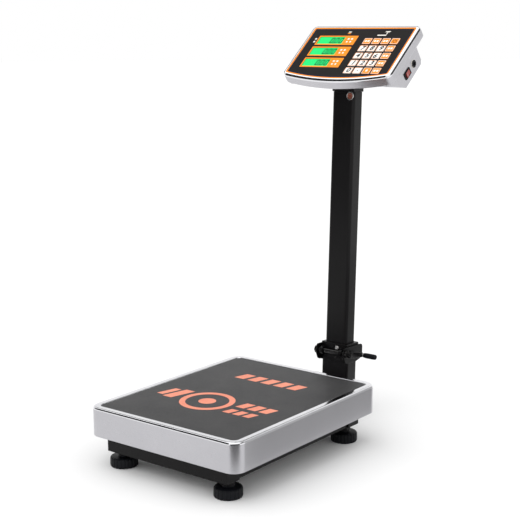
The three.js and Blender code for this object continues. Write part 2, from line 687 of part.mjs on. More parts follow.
// The wall all round the face, with its rounded lip, and the deep back under its middle.
const headShell = () => {
  const rounds = SHELL_EDGE_ROUND + TRAY_EDGE_ROUND;
  const lip = prismZ(faceOutline(SHELL_GROW, SHELL_CORNER), -2 * rounds, 0, SHELL_EDGE_ROUND, 4)
    .subtract(box([-200, 200], [-200, 200], [-3 * rounds, -rounds]));
  const wall = prismZ(faceOutline(SHELL_GROW, SHELL_CORNER), -TRAY_DEPTH, -rounds + TRAY_EDGE_ROUND, TRAY_EDGE_ROUND)
    .subtract(box([-200, 200], [-200, 200], [-rounds, rounds]));
  const hollow = prismZ(
    faceOutline(SHELL_GROW - SHELL_WALL, SHELL_CORNER - SHELL_WALL),
    -TRAY_DEPTH + SHELL_WALL,
    -LEDGE_DEPTH - 1.6,
    4,
    2,
  );
  const panelSeat = prismZ(faceOutline(1, 4), -LEDGE_DEPTH, 5);
  const ledgeOpening = prismZ(faceOutline(-4, 3), -LEDGE_DEPTH - 3, 0);
  const backMiddle = (BOX_LOW_V + BOX_HIGH_V) / 2;
  const [openWidth, openHeight] = BACK_OPENING;
  const backOpening = box(
    [-openWidth / 2, openWidth / 2],
    [backMiddle - openHeight / 2, backMiddle + openHeight / 2],
    [-BOX_DEPTH - 5, -BOX_DEPTH + 5],
  );
  const cuts = [
    hollow,
    deepBack(SHELL_WALL),
    panelSeat,
    ledgeOpening,
    backOpening,
    sideHole(SWITCH_V, SWITCH_W, [SWITCH_BODY[0] + 2 * GAP, SWITCH_BODY[1] + 2 * GAP]),
    rodX(BARREL_RADIUS + 0.4, FACE_HALF, BOX_HALF + 20, SOCKET_V, -SOCKET_W),
  ];
  return cuts.reduce((rest, hole) => rest.subtract(hole), join([lip, wall, deepBack(0)]));
};

const headBackCover = () => prismZ(
  roundedRect(...COVER, 6, 0, (BOX_LOW_V + BOX_HIGH_V) / 2),
  -BOX_DEPTH - GAP - COVER_SHEET,
  -BOX_DEPTH - GAP,
);

const windowCentres = [0, 1, 2].map((i) => WINDOW_TOP_Y - i * WINDOW_PITCH);

const keyPlaces = [];
for (let row = 0; row < KEY_ROWS; row += 1) {
  for (let col = 0; col < KEY_COLUMNS; col += 1) {
    const x = KEY_FIRST_X + col * KEY_PITCH_X;
    const y = KEY_FIRST_Y - row * KEY_PITCH_Y;
    keyPlaces.push([`key_r${row + 1}_c${col + 1}`, x, y]);
  }
}

const facePanel = () => {
  const back = -PANEL_DEPTH - PANEL_THICKNESS;
  const plate = prismZ(faceOutline(0.7, 3.7), back, -PANEL_DEPTH);
  const windows = windowCentres.map((y) => (
    prismZ(roundedRect(WINDOW_WIDTH, WINDOW_HEIGHT, 1, WINDOW_X, y), back - 1, 0, 0, 1, 1)
  ));
  const keyHoles = keyPlaces.map(([, x, y]) => (
    prismZ(roundedRect(KEY_WIDTH + 0.6, KEY_HEIGHT + 0.6, 1.5, x, y), back - 1, 0, 0, 1, 1)
  ));
  return [...windows, ...keyHoles].reduce((rest, hole) => rest.subtract(hole), plate);
};

const lcdModule = (y) => {
  const glass = box(
    [WINDOW_X - WINDOW_WIDTH / 2 + GAP, WINDOW_X + WINDOW_WIDTH / 2 - GAP],
    [y - WINDOW_HEIGHT / 2 + GAP, y + WINDOW_HEIGHT / 2 - GAP],
    [-4, -PANEL_DEPTH - 0.7],
  );
  const body = box([WINDOW_X - 39, WINDOW_X + 39], [y - 16, y + 16], [-9, -LEDGE_DEPTH]);
  return glass.add(body);
};

const keyCap = (x, y) => {
  const top = -PANEL_DEPTH + KEY_PROUD;
  const cap = prismZ(roundedRect(KEY_WIDTH, KEY_HEIGHT, 1.2, x, y), -KEY_BACK - 1, top, 0.4, 1, 1);
  return cap.subtract(box([x - 20, x + 20], [y - 20, y + 20], [-KEY_BACK - 2, -KEY_BACK]));
};

// Circuit board behind the face, with the switch layer under the keys and a few tall parts.
const mainBoard = () => join([
  box([-128, 128], [4, 148], [-11.6, -10]),
  box([18, 118], [2, 122], [-10.5, -5.2]),
  box([-30, -6], [60, 84], [-20, -11]),
  box([60, 96], [84, 104], [-24, -11]),
]);

// Sealed battery, with its two terminals on its upper side.
const battery = () => join([
  box([-106, -6], [45, 109], [-69, -33]),
  box([-100, -94], [108, 115], [-56, -50]),
  box([-18, -12], [108, 115], [-56, -50]),
]);

// Bezel outside the shell, body inside it, and a well for the rocker.
const switchBody = () => {
  const bezel = prismX(roundedRect(...BEZEL, 2, SWITCH_V, -SWITCH_W), BOX_HALF + GAP, BOX_HALF + GAP + FLANGE);
  const body = box(
    [BOX_HALF - 18, BOX_HALF + 1],
    [SWITCH_V - SWITCH_BODY[0] / 2, SWITCH_V + SWITCH_BODY[0] / 2],
    [-SWITCH_W - SWITCH_BODY[1] / 2, -SWITCH_W + SWITCH_BODY[1] / 2],
  );
  const well = box(
    [BOX_HALF - 9, BOX_HALF + 5],
    [SWITCH_V - WELL[0] / 2, SWITCH_V + WELL[0] / 2],
    [-SWITCH_W - WELL[1] / 2, -SWITCH_W + WELL[1] / 2],
  );
  return bezel.add(body).subtract(well);
};

// Rocker with a dished top. Its upper end is pressed in, as it is with the scale off.
const powerRocker = () => {
  const pivot = BOX_HALF + GAP + FLANGE - ROCKER_PIVOT;
  const tilt = THREE.MathUtils.degToRad(8);
  const profile = [[-9, 3.9], [0, 2.5], [9, 3.9], [7.6, -3.6], [-7.6, -3.6]]
    .map(([v, out]) => [
      pivot - v * Math.sin(tilt) + out * Math.cos(tilt),
      SWITCH_V + v * Math.cos(tilt) + out * Math.sin(tilt),
    ]);
  return prismZ(polygon(profile), -SWITCH_W - 6, -SWITCH_W + 6);
};

const chargeSocket = () => {
  const flange = rodX(FLANGE_RADIUS, BOX_HALF + GAP, BOX_HALF + GAP + FLANGE, SOCKET_V, -SOCKET_W, 28);
  const barrel = rodX(BARREL_RADIUS, BOX_HALF - 14, BOX_HALF + 1, SOCKET_V, -SOCKET_W);
  const bore = rodX(SOCKET_BORE, BOX_HALF - 11, BOX_HALF + 5, SOCKET_V, -SOCKET_W);
  return flange.add(barrel).subtract(bore);
};

// ---- Bracket between tube and head, in the object's own frame ----

const pointInFrame = (frame, y, z) => {
  frame.updateMatrix();
  const point = new THREE.Vector3(0, y, z).applyMatrix4(frame.matrix);
  return [point.y, point.z];
};

// A plug in the tube's end, and a saddle above it that ends on the slope of the head's underside.
const headBracket = () => {
  const half = TUBE_WIDTH / 2 - TUBE_WALL - PLUG_CLEARANCE;
  const front = COLUMN_FRONT + TUBE_WALL + PLUG_CLEARANCE;
  const back = COLUMN_FRONT + TUBE_DEPTH - TUBE_WALL - PLUG_CLEARANCE;
  const [low, high] = [TUBE_TOP - PLUG_LENGTH, TUBE_TOP + 2];
  const plug = [[front, low], [back, low], [back, high], [front, high]]
    .map(([y, z]) => pointInFrame(column, y, z));
  const [lowY, lowZ] = pointInFrame(head, BOX_START_V, -TRAY_DEPTH + SHELL_WALL);
  const [highY, highZ] = pointInFrame(head, BOX_LOW_V, -BOX_DEPTH);
  const underside = (y) => lowZ + ((y - lowY) * (highZ - lowZ)) / (highY - lowY) - GAP;
  const [seatFront, seatBack] = [COLUMN_FRONT, COLUMN_FRONT + TUBE_DEPTH]
    .map((y) => pointInFrame(column, y, TUBE_TOP + GAP));
  const saddle = [seatFront, seatBack, [seatBack[0], underside(seatBack[0])], [seatFront[0], underside(seatFront[0])]];
  return prismX(polygon(plug), -half, half)
    .add(prismX(polygon(saddle), -TUBE_WIDTH / 2, TUBE_WIDTH / 2));
};

// ---- Assembly ----

addPart(object, 'platform_pan', platformPan(), stainless());
addPart(object, 'platform_mat', platformMat(), finish(0x4d4b4c, 0.75, 0));
addPart(object, 'base_frame', baseFrame(), blackPaint());
addPart(object, 'load_cell', loadCell(), finish(0xb5b7ba, 0.4, 1));
addPart(object, 'top_frame', topFrame(), blackPaint());
addPads();
addFeet();

addPart(column, 'lower_post', tube(POST_WIDTH, POST_DEPTH, POST_CORNER, POST_WALL, POST_BOTTOM, POST_TOP),
  blackPaint());
addPart(column, 'hinge_base_bracket', hingeBaseBracket(), blackPaint());
addPart(column, 'hinge_collar', hingeCollar(), blackPaint());
addPart(column, 'upper_tube', tube(TUBE_WIDTH, TUBE_DEPTH, TUBE_CORNER, TUBE_WALL, TUBE_BOTTOM, TUBE_TOP),
  blackPaint());
addPart(column, 'collar_screw', collarScrew(), zinc());
addPart(column, 'clamp_rod', clampRod(), zinc());
addPart(column, 'clamp_rod_nut', rodNut(), zinc());
addPart(column, 'crank_arm', crankArm(), blackPaint());
addPart(column, 'crank_grip', crankGrip(), blackPlastic());
addPart(column, 'bracket_screw_cap', bracketScrewCap(), finish(0x7a3a22, 0.5, 0));

addPart(object, 'head_bracket', headBracket(), blackPaint());
addPart(head, 'head_shell', headShell(), stainless());
addPart(head, 'head_back_cover', headBackCover(), stainless());
addPart(head, 'face_panel', facePanel(), finish(0x33302f, 0.45, 0));
windowCentres.forEach((y, i) => {
  addPart(head, `lcd_module_${i + 1}`, lcdModule(y), finish(0x00e878, 0.25, 0));
});
addPart(head, 'main_board', mainBoard(), finish(0x1f5a34, 0.6, 0));
addPart(head, 'battery', battery(), finish(0x2a2c30, 0.6, 0));
addPart(head, 'switch_body', switchBody(), blackPlastic());
addPart(head, 'power_rocker', powerRocker(), finish(0xa3302a, 0.35, 0));
addPart(head, 'charge_socket', chargeSocket(), blackPlastic());
for (const [name, x, y] of keyPlaces) {
  addPart(head, name, keyCap(x, y), finish(0xf2efe9, 0.5, 0));
}

export default object;
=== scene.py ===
# Looks of a platform shipping scale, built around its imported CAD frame.
# Shapes are drawn in millimetres, in the local frame of the platform, the column or the head,
# and piece() scales them to metres as it puts them in place.
import json
import math

import bmesh
import bpy
from mathutils import Matrix, Vector


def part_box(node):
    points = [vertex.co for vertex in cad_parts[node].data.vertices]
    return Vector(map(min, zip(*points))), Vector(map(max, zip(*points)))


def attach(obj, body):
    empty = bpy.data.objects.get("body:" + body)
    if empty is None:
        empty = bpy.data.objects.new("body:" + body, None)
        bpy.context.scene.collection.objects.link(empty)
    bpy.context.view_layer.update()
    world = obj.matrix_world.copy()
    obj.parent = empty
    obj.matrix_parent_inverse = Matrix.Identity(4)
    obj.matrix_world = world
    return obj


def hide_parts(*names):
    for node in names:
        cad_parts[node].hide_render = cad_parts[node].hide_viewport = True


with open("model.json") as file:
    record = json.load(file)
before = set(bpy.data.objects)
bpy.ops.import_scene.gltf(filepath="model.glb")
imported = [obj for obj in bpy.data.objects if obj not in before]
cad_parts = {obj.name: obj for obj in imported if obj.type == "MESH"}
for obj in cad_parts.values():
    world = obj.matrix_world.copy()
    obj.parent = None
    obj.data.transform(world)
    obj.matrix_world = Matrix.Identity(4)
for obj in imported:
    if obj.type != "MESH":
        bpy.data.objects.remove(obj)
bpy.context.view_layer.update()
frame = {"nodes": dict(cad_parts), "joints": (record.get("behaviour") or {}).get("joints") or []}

MM = 0.001
GAP = 0.3

# ---- The three local frames ----

pan_low, pan_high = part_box("platform_pan")
joints = {joint["name"]: joint for joint in frame["joints"]}
COLUMN_LEAN = 2.4                     # degrees, backwards
HEAD_TILT = 39.3                      # degrees from horizontal
HEAD_REACH, HEAD_HEIGHT = 0.367, 0.805          # the face's lower corners, from the pan's middle

PAN_MIDDLE = (pan_low + pan_high) / 2
PLATFORM = Matrix.Translation((PAN_MIDDLE.x, PAN_MIDDLE.y, 0))
COLUMN = (Matrix.Translation(joints["column_fold"]["pos_m"])
          @ Matrix.Rotation(math.radians(-COLUMN_LEAN), 4, "X"))
HEAD = (Matrix.Translation((0, PAN_MIDDLE.y + HEAD_REACH, HEAD_HEIGHT))
        @ Matrix.Rotation(math.radians(HEAD_TILT), 4, "X"))

# ---- Sizes, millimetres ----

PAN_WIDTH = (pan_high.x - pan_low.x) / MM
PAN_DEPTH = (pan_high.y - pan_low.y) / MM
PAN_BOTTOM = pan_low.z / MM
PAN_TOP = pan_high.z / MM
PAN_CORNER, PAN_EDGE = 28, 5
RIM_WIDTH = 16.8
MAT_TOP = PAN_TOP - 1
MAT_THICKNESS = 3

FRAME_BOTTOM, FRAME_TOP = 35, 72
CROSS_BAR_HALF, CROSS_BAR_Y = 162, 212
BAR_WIDTH, RAIL_OUTER = 40, 158
BEAM_TOP, CELL_SEAT_TOP, CELL_SEAT_Y = 60, 65.7, -44
TRAY_END, TRAY_FLOOR, TRAY_TOP = 418, 43, 66
CORNERS = (("front_left", -1, -1), ("front_right", 1, -1), ("rear_left", -1, 1), ("rear_right", 1, 1))
FOOT_X, FOOT_Y = 142, 204
FOOT_RADIUS, FOOT_HEIGHT, FOOT_RIBS = 29.5, 21.5, 22
STUD_START, STUD_TOP, THREAD_PITCH = 25, 65.6, 1.5

COLUMN_FRONT = 13.4
POST_WIDTH, POST_DEPTH, POST_BOTTOM, POST_TOP = 74, 38, -100.5, -6.4
TUBE_WIDTH, TUBE_DEPTH, TUBE_BOTTOM, TUBE_TOP = 60, 40, 4, 615
CAP_X, CAP_Z, CAP_RADIUS = 20, 605.5, 9.5
ROD_RADIUS = 5
CHEEK_INNER = POST_WIDTH / 2 + 0.4
CHEEK_OUTER = CHEEK_INNER + 3.2
CHEEK_BACK, CHEEK_TOP, CHEEK_BOTTOM, PLATE_FRONT = 71, 14.5, -25, 9.9
COLLAR_HALF, COLLAR_BACK, COLLAR_SIDE = CHEEK_INNER - 0.6, 60, 9.5
COLLAR_BOTTOM, COLLAR_TOP, COLLAR_BOW = -1.9, 19.5, 3.5
COLLAR_SHELF = 3.4                    # inside the collar, under the tube
EYE_RADIUS, EYE_INNER, EYE_OUTER = 9, 23, 31
SCREW_X, SCREW_Z, SCREW_RADIUS = 10, 9.8, 5
ROD_START, ROD_END, NUT_OUTER = -48.5, 58, -46.5
CRANK_X, CRANK_THICKNESS = 50, 6
CRANK_REACH_Y, CRANK_REACH_Z = 46.5, -7.5
GRIP_RADIUS, GRIP_LENGTH, GRIP_BORE, PIN_LENGTH = 6.3, 39, 3.4, 40

FACE_HALF, FACE_HEIGHT, FACE_BULGE = 140, 158, 18
SHELL_GROW, LIP_ROUND, TRAY_DEPTH = 9, 7, 29
BOX_GROW, BOX_CORNER, BOX_DEPTH = 6, 18, 73
BOX_START, BOX_LOW, BOX_HIGH, BOX_TOP = -12, 34.7, 116, 124
BOX_SIDE = FACE_HALF + BOX_GROW       # where the switch and the socket sit
PANEL_TOP, PANEL_BACK = -1, -3.4
KEY_WIDTH, KEY_HEIGHT, KEY_TOP = 21, 20, -0.4
KEY_PITCH_X, KEY_PITCH_Y, KEY_FIRST_X, KEY_FIRST_Y = 24.8, 25.4, 31, 111
WINDOW_WIDTH, WINDOW_HEIGHT, WINDOW_X = 72, 25.5, -72.3
WINDOW_TOP_Y, WINDOW_PITCH = 113.5, 39.2
SWITCH_V, SWITCH_W = 57.5, -50
SWITCH_LENGTH, SWITCH_HEIGHT, SWITCH_WALL = 22, 15, 1.1
SOCKET_V, SOCKET_W = 91, -50
FLANGE = 2.1                          # how far the switch and the socket stand out


# ---- Materials ----

def add_node(material, kind, **values):
    node = material.node_tree.nodes.new(kind)
    for key, value in values.items():
        if key in node.inputs:
            node.inputs[key].default_value = value
        else:
            setattr(node, key, value)
    return node


def connect(material, source, target):
    material.node_tree.links.new(source, target)


def noise(material, scale, detail, stretch=(1, 1, 1)):
    """Noise in the object's own metres, stretched along an axis for brushed or moulded grain."""
    place = add_node(material, "ShaderNodeTexCoord")
    mapping = add_node(material, "ShaderNodeMapping", Scale=stretch)
    texture = add_node(material, "ShaderNodeTexNoise", Scale=scale, Detail=detail)
    connect(material, place.outputs["Object"], mapping.inputs["Vector"])
    connect(material, mapping.outputs["Vector"], texture.inputs["Vector"])
    return texture.outputs["Fac"]


def remap(material, value, low, high, to_low, to_high):
    node = add_node(material, "ShaderNodeMapRange")
    numbers = {"From Min": low, "From Max": high, "To Min": to_low, "To Max": to_high}
    for socket, number in numbers.items():
        node.inputs[socket].default_value = number
    connect(material, value, node.inputs["Value"])
    return node.outputs["Result"]


def mix_colours(material, amount, first, second):
    node = add_node(material, "ShaderNodeMix", data_type="RGBA")
    connect(material, amount, node.inputs["Factor"])
    for socket, colour in ((node.inputs[6], first), (node.inputs[7], second)):
        if isinstance(colour, tuple):
            socket.default_value = (*colour, 1)
        else:
            connect(material, colour, socket)
    return node.outputs[2]


def surface(name, dark, light, rough, patch=18, grain=900, stretch=(1, 1, 1), depth=0.05,
            wear=None, **fixed):
    """Soft patches shift the colour, fine grain moves gloss and bump, and wear brightens the edges."""
    material = bpy.data.materials.new(name)
    material.use_nodes = True
    shader = material.node_tree.nodes["Principled BSDF"]
    for socket, value in fixed.items():
        shader.inputs[socket.replace("_", " ")].default_value = value
    patches = remap(material, noise(material, patch, 4), 0.3, 0.7, 0, 1)
    colour = mix_colours(material, patches, dark, light)
    if wear:
        edges = add_node(material, "ShaderNodeNewGeometry").outputs["Pointiness"]
        colour = mix_colours(material, remap(material, edges, 0.53, 0.62, 0, 0.5), colour, wear)
    connect(material, colour, shader.inputs["Base Color"])
    fine = noise(material, grain, 3, stretch)
    connect(material, remap(material, fine, 0.3, 0.7, *rough), shader.inputs["Roughness"])
    bump = add_node(material, "ShaderNodeBump", Strength=0.6, Distance=depth * MM)
    connect(material, fine, bump.inputs["Height"])
    connect(material, bump.outputs["Normal"], shader.inputs["Normal"])
    return material


BRUSHED = (0.04, 1, 1)
stainless = surface("brushed_stainless", (0.49, 0.485, 0.51), (0.52, 0.515, 0.54), (0.27, 0.3), patch=9,
                    grain=1400, stretch=BRUSHED, depth=0.001, Metallic=1)
polished = surface("polished_stainless", (0.72, 0.72, 0.75), (0.8, 0.8, 0.82), (0.07, 0.13),
                   grain=700, stretch=BRUSHED, depth=0.002, Metallic=1)
zinc = surface("zinc_plate", (0.42, 0.41, 0.4), (0.62, 0.61, 0.6), (0.2, 0.36), patch=120,
               grain=1600, depth=0.01, Metallic=1)
steel = surface("blackened_steel", (0.035, 0.034, 0.034), (0.075, 0.073, 0.072), (0.2, 0.34), patch=140,
                grain=1500, depth=0.01, Metallic=1)
aluminium = surface("aluminium", (0.55, 0.56, 0.57), (0.65, 0.66, 0.67), (0.3, 0.42),
                    grain=1500, stretch=(1, 0.05, 1), depth=0.01, Metallic=1)
paint = surface("black_powder_paint", (0.0025, 0.0023, 0.0025), (0.004, 0.0037, 0.004), (0.26, 0.36),
                grain=700, depth=0.03, wear=(0.016, 0.015, 0.016), Specular_IOR_Level=0.14)
plastic = surface("black_moulded_plastic", (0.003, 0.0034, 0.0045), (0.006, 0.0066, 0.009), (0.34, 0.48),
                  grain=1800, depth=0.02, wear=(0.012, 0.013, 0.016), Specular_IOR_Level=0.16)
rubber = surface("black_rubber", (0.012, 0.012, 0.012), (0.022, 0.022, 0.021), (0.62, 0.8),
                 grain=1500, depth=0.04)
mat_rubber = surface("grained_mat", (0.02, 0.02, 0.021), (0.033, 0.032, 0.033), (0.42, 0.54),
                     grain=620, depth=0.12)
salmon = surface("salmon_print", (0.8, 0.24, 0.145), (0.9, 0.3, 0.185), (0.4, 0.55), grain=620,
                 depth=0.1)
film = surface("face_film", (0.009, 0.008, 0.0075), (0.012, 0.011, 0.0105), (0.34, 0.42), grain=1600,
               depth=0.006, Specular_IOR_Level=0.06)
navy = surface("navy_print", (0.002, 0.01, 0.03), (0.003, 0.014, 0.042), (0.34, 0.42), grain=1600,
               depth=0.006, Specular_IOR_Level=0.06)
orange = surface("orange_print", (0.9, 0.26, 0.01), (0.98, 0.3, 0.018), (0.3, 0.4), grain=1600,
                 depth=0.012, Specular_IOR_Level=0.1)
pale = surface("pale_print", (0.86, 0.82, 0.74), (0.94, 0.91, 0.84), (0.3, 0.42), grain=1600,
               depth=0.012)
white = surface("white_key", (0.86, 0.84, 0.8), (0.93, 0.92, 0.89), (0.32, 0.44), grain=1500, depth=0.02)
ink = surface("black_ink", (0.006, 0.006, 0.007), (0.01, 0.009, 0.01), (0.3, 0.42), grain=1600,
              depth=0.01, Specular_IOR_Level=0.1)
lcd_green = surface("lcd_green", (0.0, 0.56, 0.12), (0.002, 0.64, 0.15), (0.12, 0.18), patch=60,
                    grain=2500, depth=0.004, Emission_Color=(0.0, 0.8, 0.18, 1), Emission_Strength=0.3,
                    Specular_IOR_Level=0.1)
lcd_ink = surface("lcd_segments", (0.0, 0.014, 0.006), (0.003, 0.024, 0.01), (0.2, 0.3), grain=2500,
                  depth=0.004, Specular_IOR_Level=0.1)
red = surface("red_rocker", (0.3, 0.03, 0.025), (0.42, 0.05, 0.04), (0.16, 0.26), grain=1200, depth=0.02,
              Transmission_Weight=0.15)
copper = surface("copper_brown_cap", (0.13, 0.03, 0.014), (0.24, 0.06, 0.028), (0.3, 0.45), patch=160,
                 grain=1500, depth=0.03)
board = surface("circuit_board", (0.008, 0.06, 0.02), (0.02, 0.13, 0.045), (0.35, 0.5), patch=260,
                grain=900, depth=0.05)
battery_case = surface("battery_case", (0.014, 0.015, 0.018), (0.026, 0.028, 0.032), (0.4, 0.55),
                       grain=1300, depth=0.05)


# ---- Mesh making ----

def rounded_rect(width, depth, radius, x=0, y=0, steps=8):
    points = []
    for corner, (side, end) in enumerate(((1, 1), (-1, 1), (-1, -1), (1, -1))):
        middle_x = x + side * (width / 2 - radius)
        middle_y = y + end * (depth / 2 - radius)
        for step in range(steps + 1):
            angle = (corner + step / steps) * math.pi / 2
            points.append((middle_x + radius * math.cos(angle), middle_y + radius * math.sin(angle)))
    return points


def arc(x, y, radius, start, end, steps):
    """Points on an arc, with its angles in degrees."""
    angles = [math.radians(start + (end - start) * step / steps) for step in range(steps + 1)]
    return [(x + radius * math.cos(a), y + radius * math.sin(a)) for a in angles]


def curve(first, control, last, steps=8):
    """Points on a quadratic curve from first to last that bends towards control."""
    points = []
    for step in range(steps + 1):
        t = step / steps
        weighted = list(zip(((1 - t) ** 2, 2 * t * (1 - t), t * t), (first, control, last)))
        points.append(tuple(sum(weight * point[i] for weight, point in weighted) for i in (0, 1)))
    return points


def loft(rings, closed=False):
    """A solid through rings of equal length: capped at both ends, or closed back onto the first ring."""
    bm = bmesh.new()
    rows = [[bm.verts.new(point) for point in ring] for ring in rings]
    pairs = list(zip(rows, rows[1:])) + ([(rows[-1], rows[0])] if closed else [])
    for low, high in pairs:
        for i, vertex in enumerate(low):
            j = (i + 1) % len(low)
            bm.faces.new((vertex, low[j], high[j], high[i]))
    if not closed:
        bm.faces.new(rows[0][::-1])
        bm.faces.new(rows[-1])
    bmesh.ops.recalc_face_normals(bm, faces=bm.faces)
    return bm


def prism_z(outline, low, high):
    return loft([[(x, y, z) for x, y in outline] for z in (low, high)])


def prism_x(outline, low, high):
    """A prism along X whose outline is drawn in Y and Z."""
    return loft([[(x, y, z) for y, z in outline] for x in (low, high)])


def block(x0, x1, y0, y1, z0, z1):
    return prism_z([(x0, y0), (x1, y0), (x1, y1), (x0, y1)], z0, z1)


def turned(profile, at=(0, 0), axis="X", steps=40, closed=False):
    """A turned solid from [radius, place along the axis] points; at is the axis's place across it."""
    angles = [2 * math.pi * i / steps for i in range(steps)]
    rings = []
    for radius, along in profile:
        circle = [(at[0] + radius * math.cos(a), at[1] + radius * math.sin(a)) for a in angles]
        rings.append([(along, p, q) if axis == "X" else (p, q, along) for p, q in circle])
    return loft(rings, closed)


def turned_y(profile, x, z, steps, closed=False):
    """A turned solid about an axis along Y, from [radius, y] points."""
    angles = [2 * math.pi * i / steps for i in range(steps)]
    return loft([[(x + r * math.cos(a), y, z + r * math.sin(a)) for a in angles] for r, y in profile],
                closed)


def bevel(bm, width, segments=3, angle=25, chosen=None):
    """Rounds the edges where the surface turns by more than angle degrees."""
    limit = math.radians(angle)
    edges = [e for e in bm.edges
             if e.is_manifold and e.calc_face_angle() > limit and (chosen is None or chosen(e))]
    bmesh.ops.bevel(bm, geom=edges, offset=width, segments=segments, profile=0.5, affect="EDGES",
                    clamp_overlap=True)
    return bm


def combine(first, second, operation):
    """The exact boolean of two solids, which are both used up."""
    objects = []
    for bm in (first, second):
        mesh = bpy.data.meshes.new("work")
        bm.to_mesh(mesh)
        bm.free()
        obj = bpy.data.objects.new("work", mesh)
        bpy.context.scene.collection.objects.link(obj)
        objects.append(obj)
    modifier = objects[0].modifiers.new("combine", "BOOLEAN")
    modifier.object = objects[1]
    modifier.operation = operation
    modifier.solver = "EXACT"
    bpy.context.view_layer.update()
    evaluated = objects[0].evaluated_get(bpy.context.evaluated_depsgraph_get())
    result = bmesh.new()
    result.from_mesh(evaluated.to_mesh())
    evaluated.to_mesh_clear()
    for obj in objects:
        mesh = obj.data
        bpy.data.objects.remove(obj)
        bpy.data.meshes.remove(mesh)
    return result


def weld(*solids):
    whole = solids[0]
    for other in solids[1:]:
        whole = combine(whole, other, "UNION")
    bmesh.ops.dissolve_limit(whole, angle_limit=math.radians(0.2), verts=whole.verts, edges=whole.edges)
    return whole


def cut(bm, *tools):
    for tool in tools:
        bm = combine(bm, tool, "DIFFERENCE")
    return bm


def piece(name, parts, place, body, replaces=(), smooth=35):
    """One shown piece, from [solid, material] pairs drawn in the local frame place."""
    mesh = bpy.data.meshes.new(name)
    whole = bmesh.new()
    for index, (bm, material) in enumerate(parts):
        mesh.materials.append(material)
        for face in bm.faces:
            face.material_index = index
        work = bpy.data.meshes.new("work")
        bm.to_mesh(work)
        bm.free()
        whole.from_mesh(work)
        bpy.data.meshes.remove(work)
    limit = math.radians(smooth)
    for face in whole.faces:
        face.smooth = True
    for edge in whole.edges:
        edge.smooth = edge.is_manifold and edge.calc_face_angle() < limit
    whole.transform(place @ Matrix.Scale(MM, 4))
    whole.to_mesh(mesh)
    whole.free()
    obj = bpy.data.objects.new(name, mesh)
    bpy.context.scene.collection.objects.link(obj)
    normals = obj.modifiers.new("normals", "WEIGHTED_NORMAL")
    normals.keep_sharp = True
    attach(obj, body)
    if replaces:
        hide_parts(*replaces)
    return obj


def polish(obj, place, above):
    """Gives the faces above a height in the local frame the polished finish of a rolled edge."""
    obj.data.materials.append(polished)
    to_local = place.inverted()
    for face in obj.data.polygons:
        if (to_local @ face.center).z / MM > above:
            face.material_index = len(obj.data.materials) - 1


# ---- Platform ----

def pan_ring(inset, z):
    outline = rounded_rect(PAN_WIDTH - 2 * inset, PAN_DEPTH - 2 * inset, PAN_CORNER - inset, steps=14)
    return [(x, y, z) for x, y in outline]


def make_pan():
    """Deep-drawn sheet: hemmed skirt, rounded edge, crowned rim, and a floor sunk for the mat."""
    edge = [(PAN_EDGE - x, PAN_TOP - PAN_EDGE + y) for x, y in arc(0, 0, PAN_EDGE, 0, 90, 8)]
    inner_edge = [(3.4 - x, PAN_TOP - 4.8 + y) for x, y in arc(-0.4, 0, 2.6, 0, 90, 5)]
    drop = [(RIM_WIDTH - 2 + x, PAN_TOP - 2 + y) for x, y in arc(0, 0, 2, 90, 0, 6)]
    profile = [
        (RIM_WIDTH + 1, MAT_TOP - 4.6), (RIM_WIDTH - 1.4, MAT_TOP - 4), (RIM_WIDTH - 2.4, PAN_TOP - 2),
        *inner_edge[::-1], (1.2, PAN_BOTTOM + 3.2), (2.2, PAN_BOTTOM + 2.4), (2.4, PAN_BOTTOM + 0.9),
        (1.6, PAN_BOTTOM + 0.1), (0.7, PAN_BOTTOM), (0.15, PAN_BOTTOM + 0.5), (0, PAN_BOTTOM + 1.4),
        *edge, (RIM_WIDTH / 2, PAN_TOP), *drop,
        (RIM_WIDTH + 0.5, MAT_TOP - MAT_THICKNESS - 0.1), (RIM_WIDTH + 2, MAT_TOP - MAT_THICKNESS - GAP),
    ]
    shell = loft([pan_ring(inset, z) for inset, z in profile])
    obj = piece("stainless_pan", [(shell, stainless)], PLATFORM, "platform",
                ["platform_pan"], 40)
    polish(obj, PLATFORM, PAN_TOP - PAN_EDGE - 0.5)


def make_mat():
    start = RIM_WIDTH + GAP
    profile = [(start, MAT_TOP - MAT_THICKNESS), (start, MAT_TOP - 0.7),
               (start + 0.25, MAT_TOP - 0.2), (start + 0.8, MAT_TOP)]
    slab = loft([pan_ring(inset, z) for inset, z in profile])
    piece("grained_mat_slab", [(slab, mat_rubber)], PLATFORM, "platform", ["platform_mat"])


def make_mat_print():
    """A centring ring, with slanted bars on both its sides and a row of them behind it."""
    low, high = MAT_TOP - 0.05, MAT_TOP + 0.08
    ring_x, ring_y = -22, -72
    parts = []
    for outer, inner in ((60, 47), (19, 0.5)):
        rings = [(inner, low), (outer, low), (outer, high), (inner, high)]
        parts.append(turned(rings, (ring_x, ring_y), "Z", 72, closed=True))
    bars = []                         # middle, width and height of each bar
    for row_y, first_x, width, height in ((-50, 64, 22, 32), (-95, 60, 18, 26)):
        bars += [(first_x + i * (width + 8), row_y, width, height) for i in range(3)]
    bars += [(ring_x - 84, ring_y + 4, 24, 62), (ring_x - 112, ring_y + 4, 16, 48)]
    bars += [(-70 + i * 36, 118, 25, 36) for i in range(5)]
    parts += [slanted_bar(*bar, low, high) for bar in bars]
    piece("mat_print", [(part, salmon) for part in parts], PLATFORM, "platform")


def slanted_bar(x, y, width, height, low, high, slant=0.25):
    """A flat printed bar that leans to the right by slant for each unit of height."""
    half, rise = width / 2, height / 2
    outline = [(x + sx * half + sy * rise * slant, y + sy * rise)
               for sx, sy in ((-1, -1), (1, -1), (1, 1), (-1, 1))]
    return prism_z(outline, low, high)


# ---- Base frame and feet ----

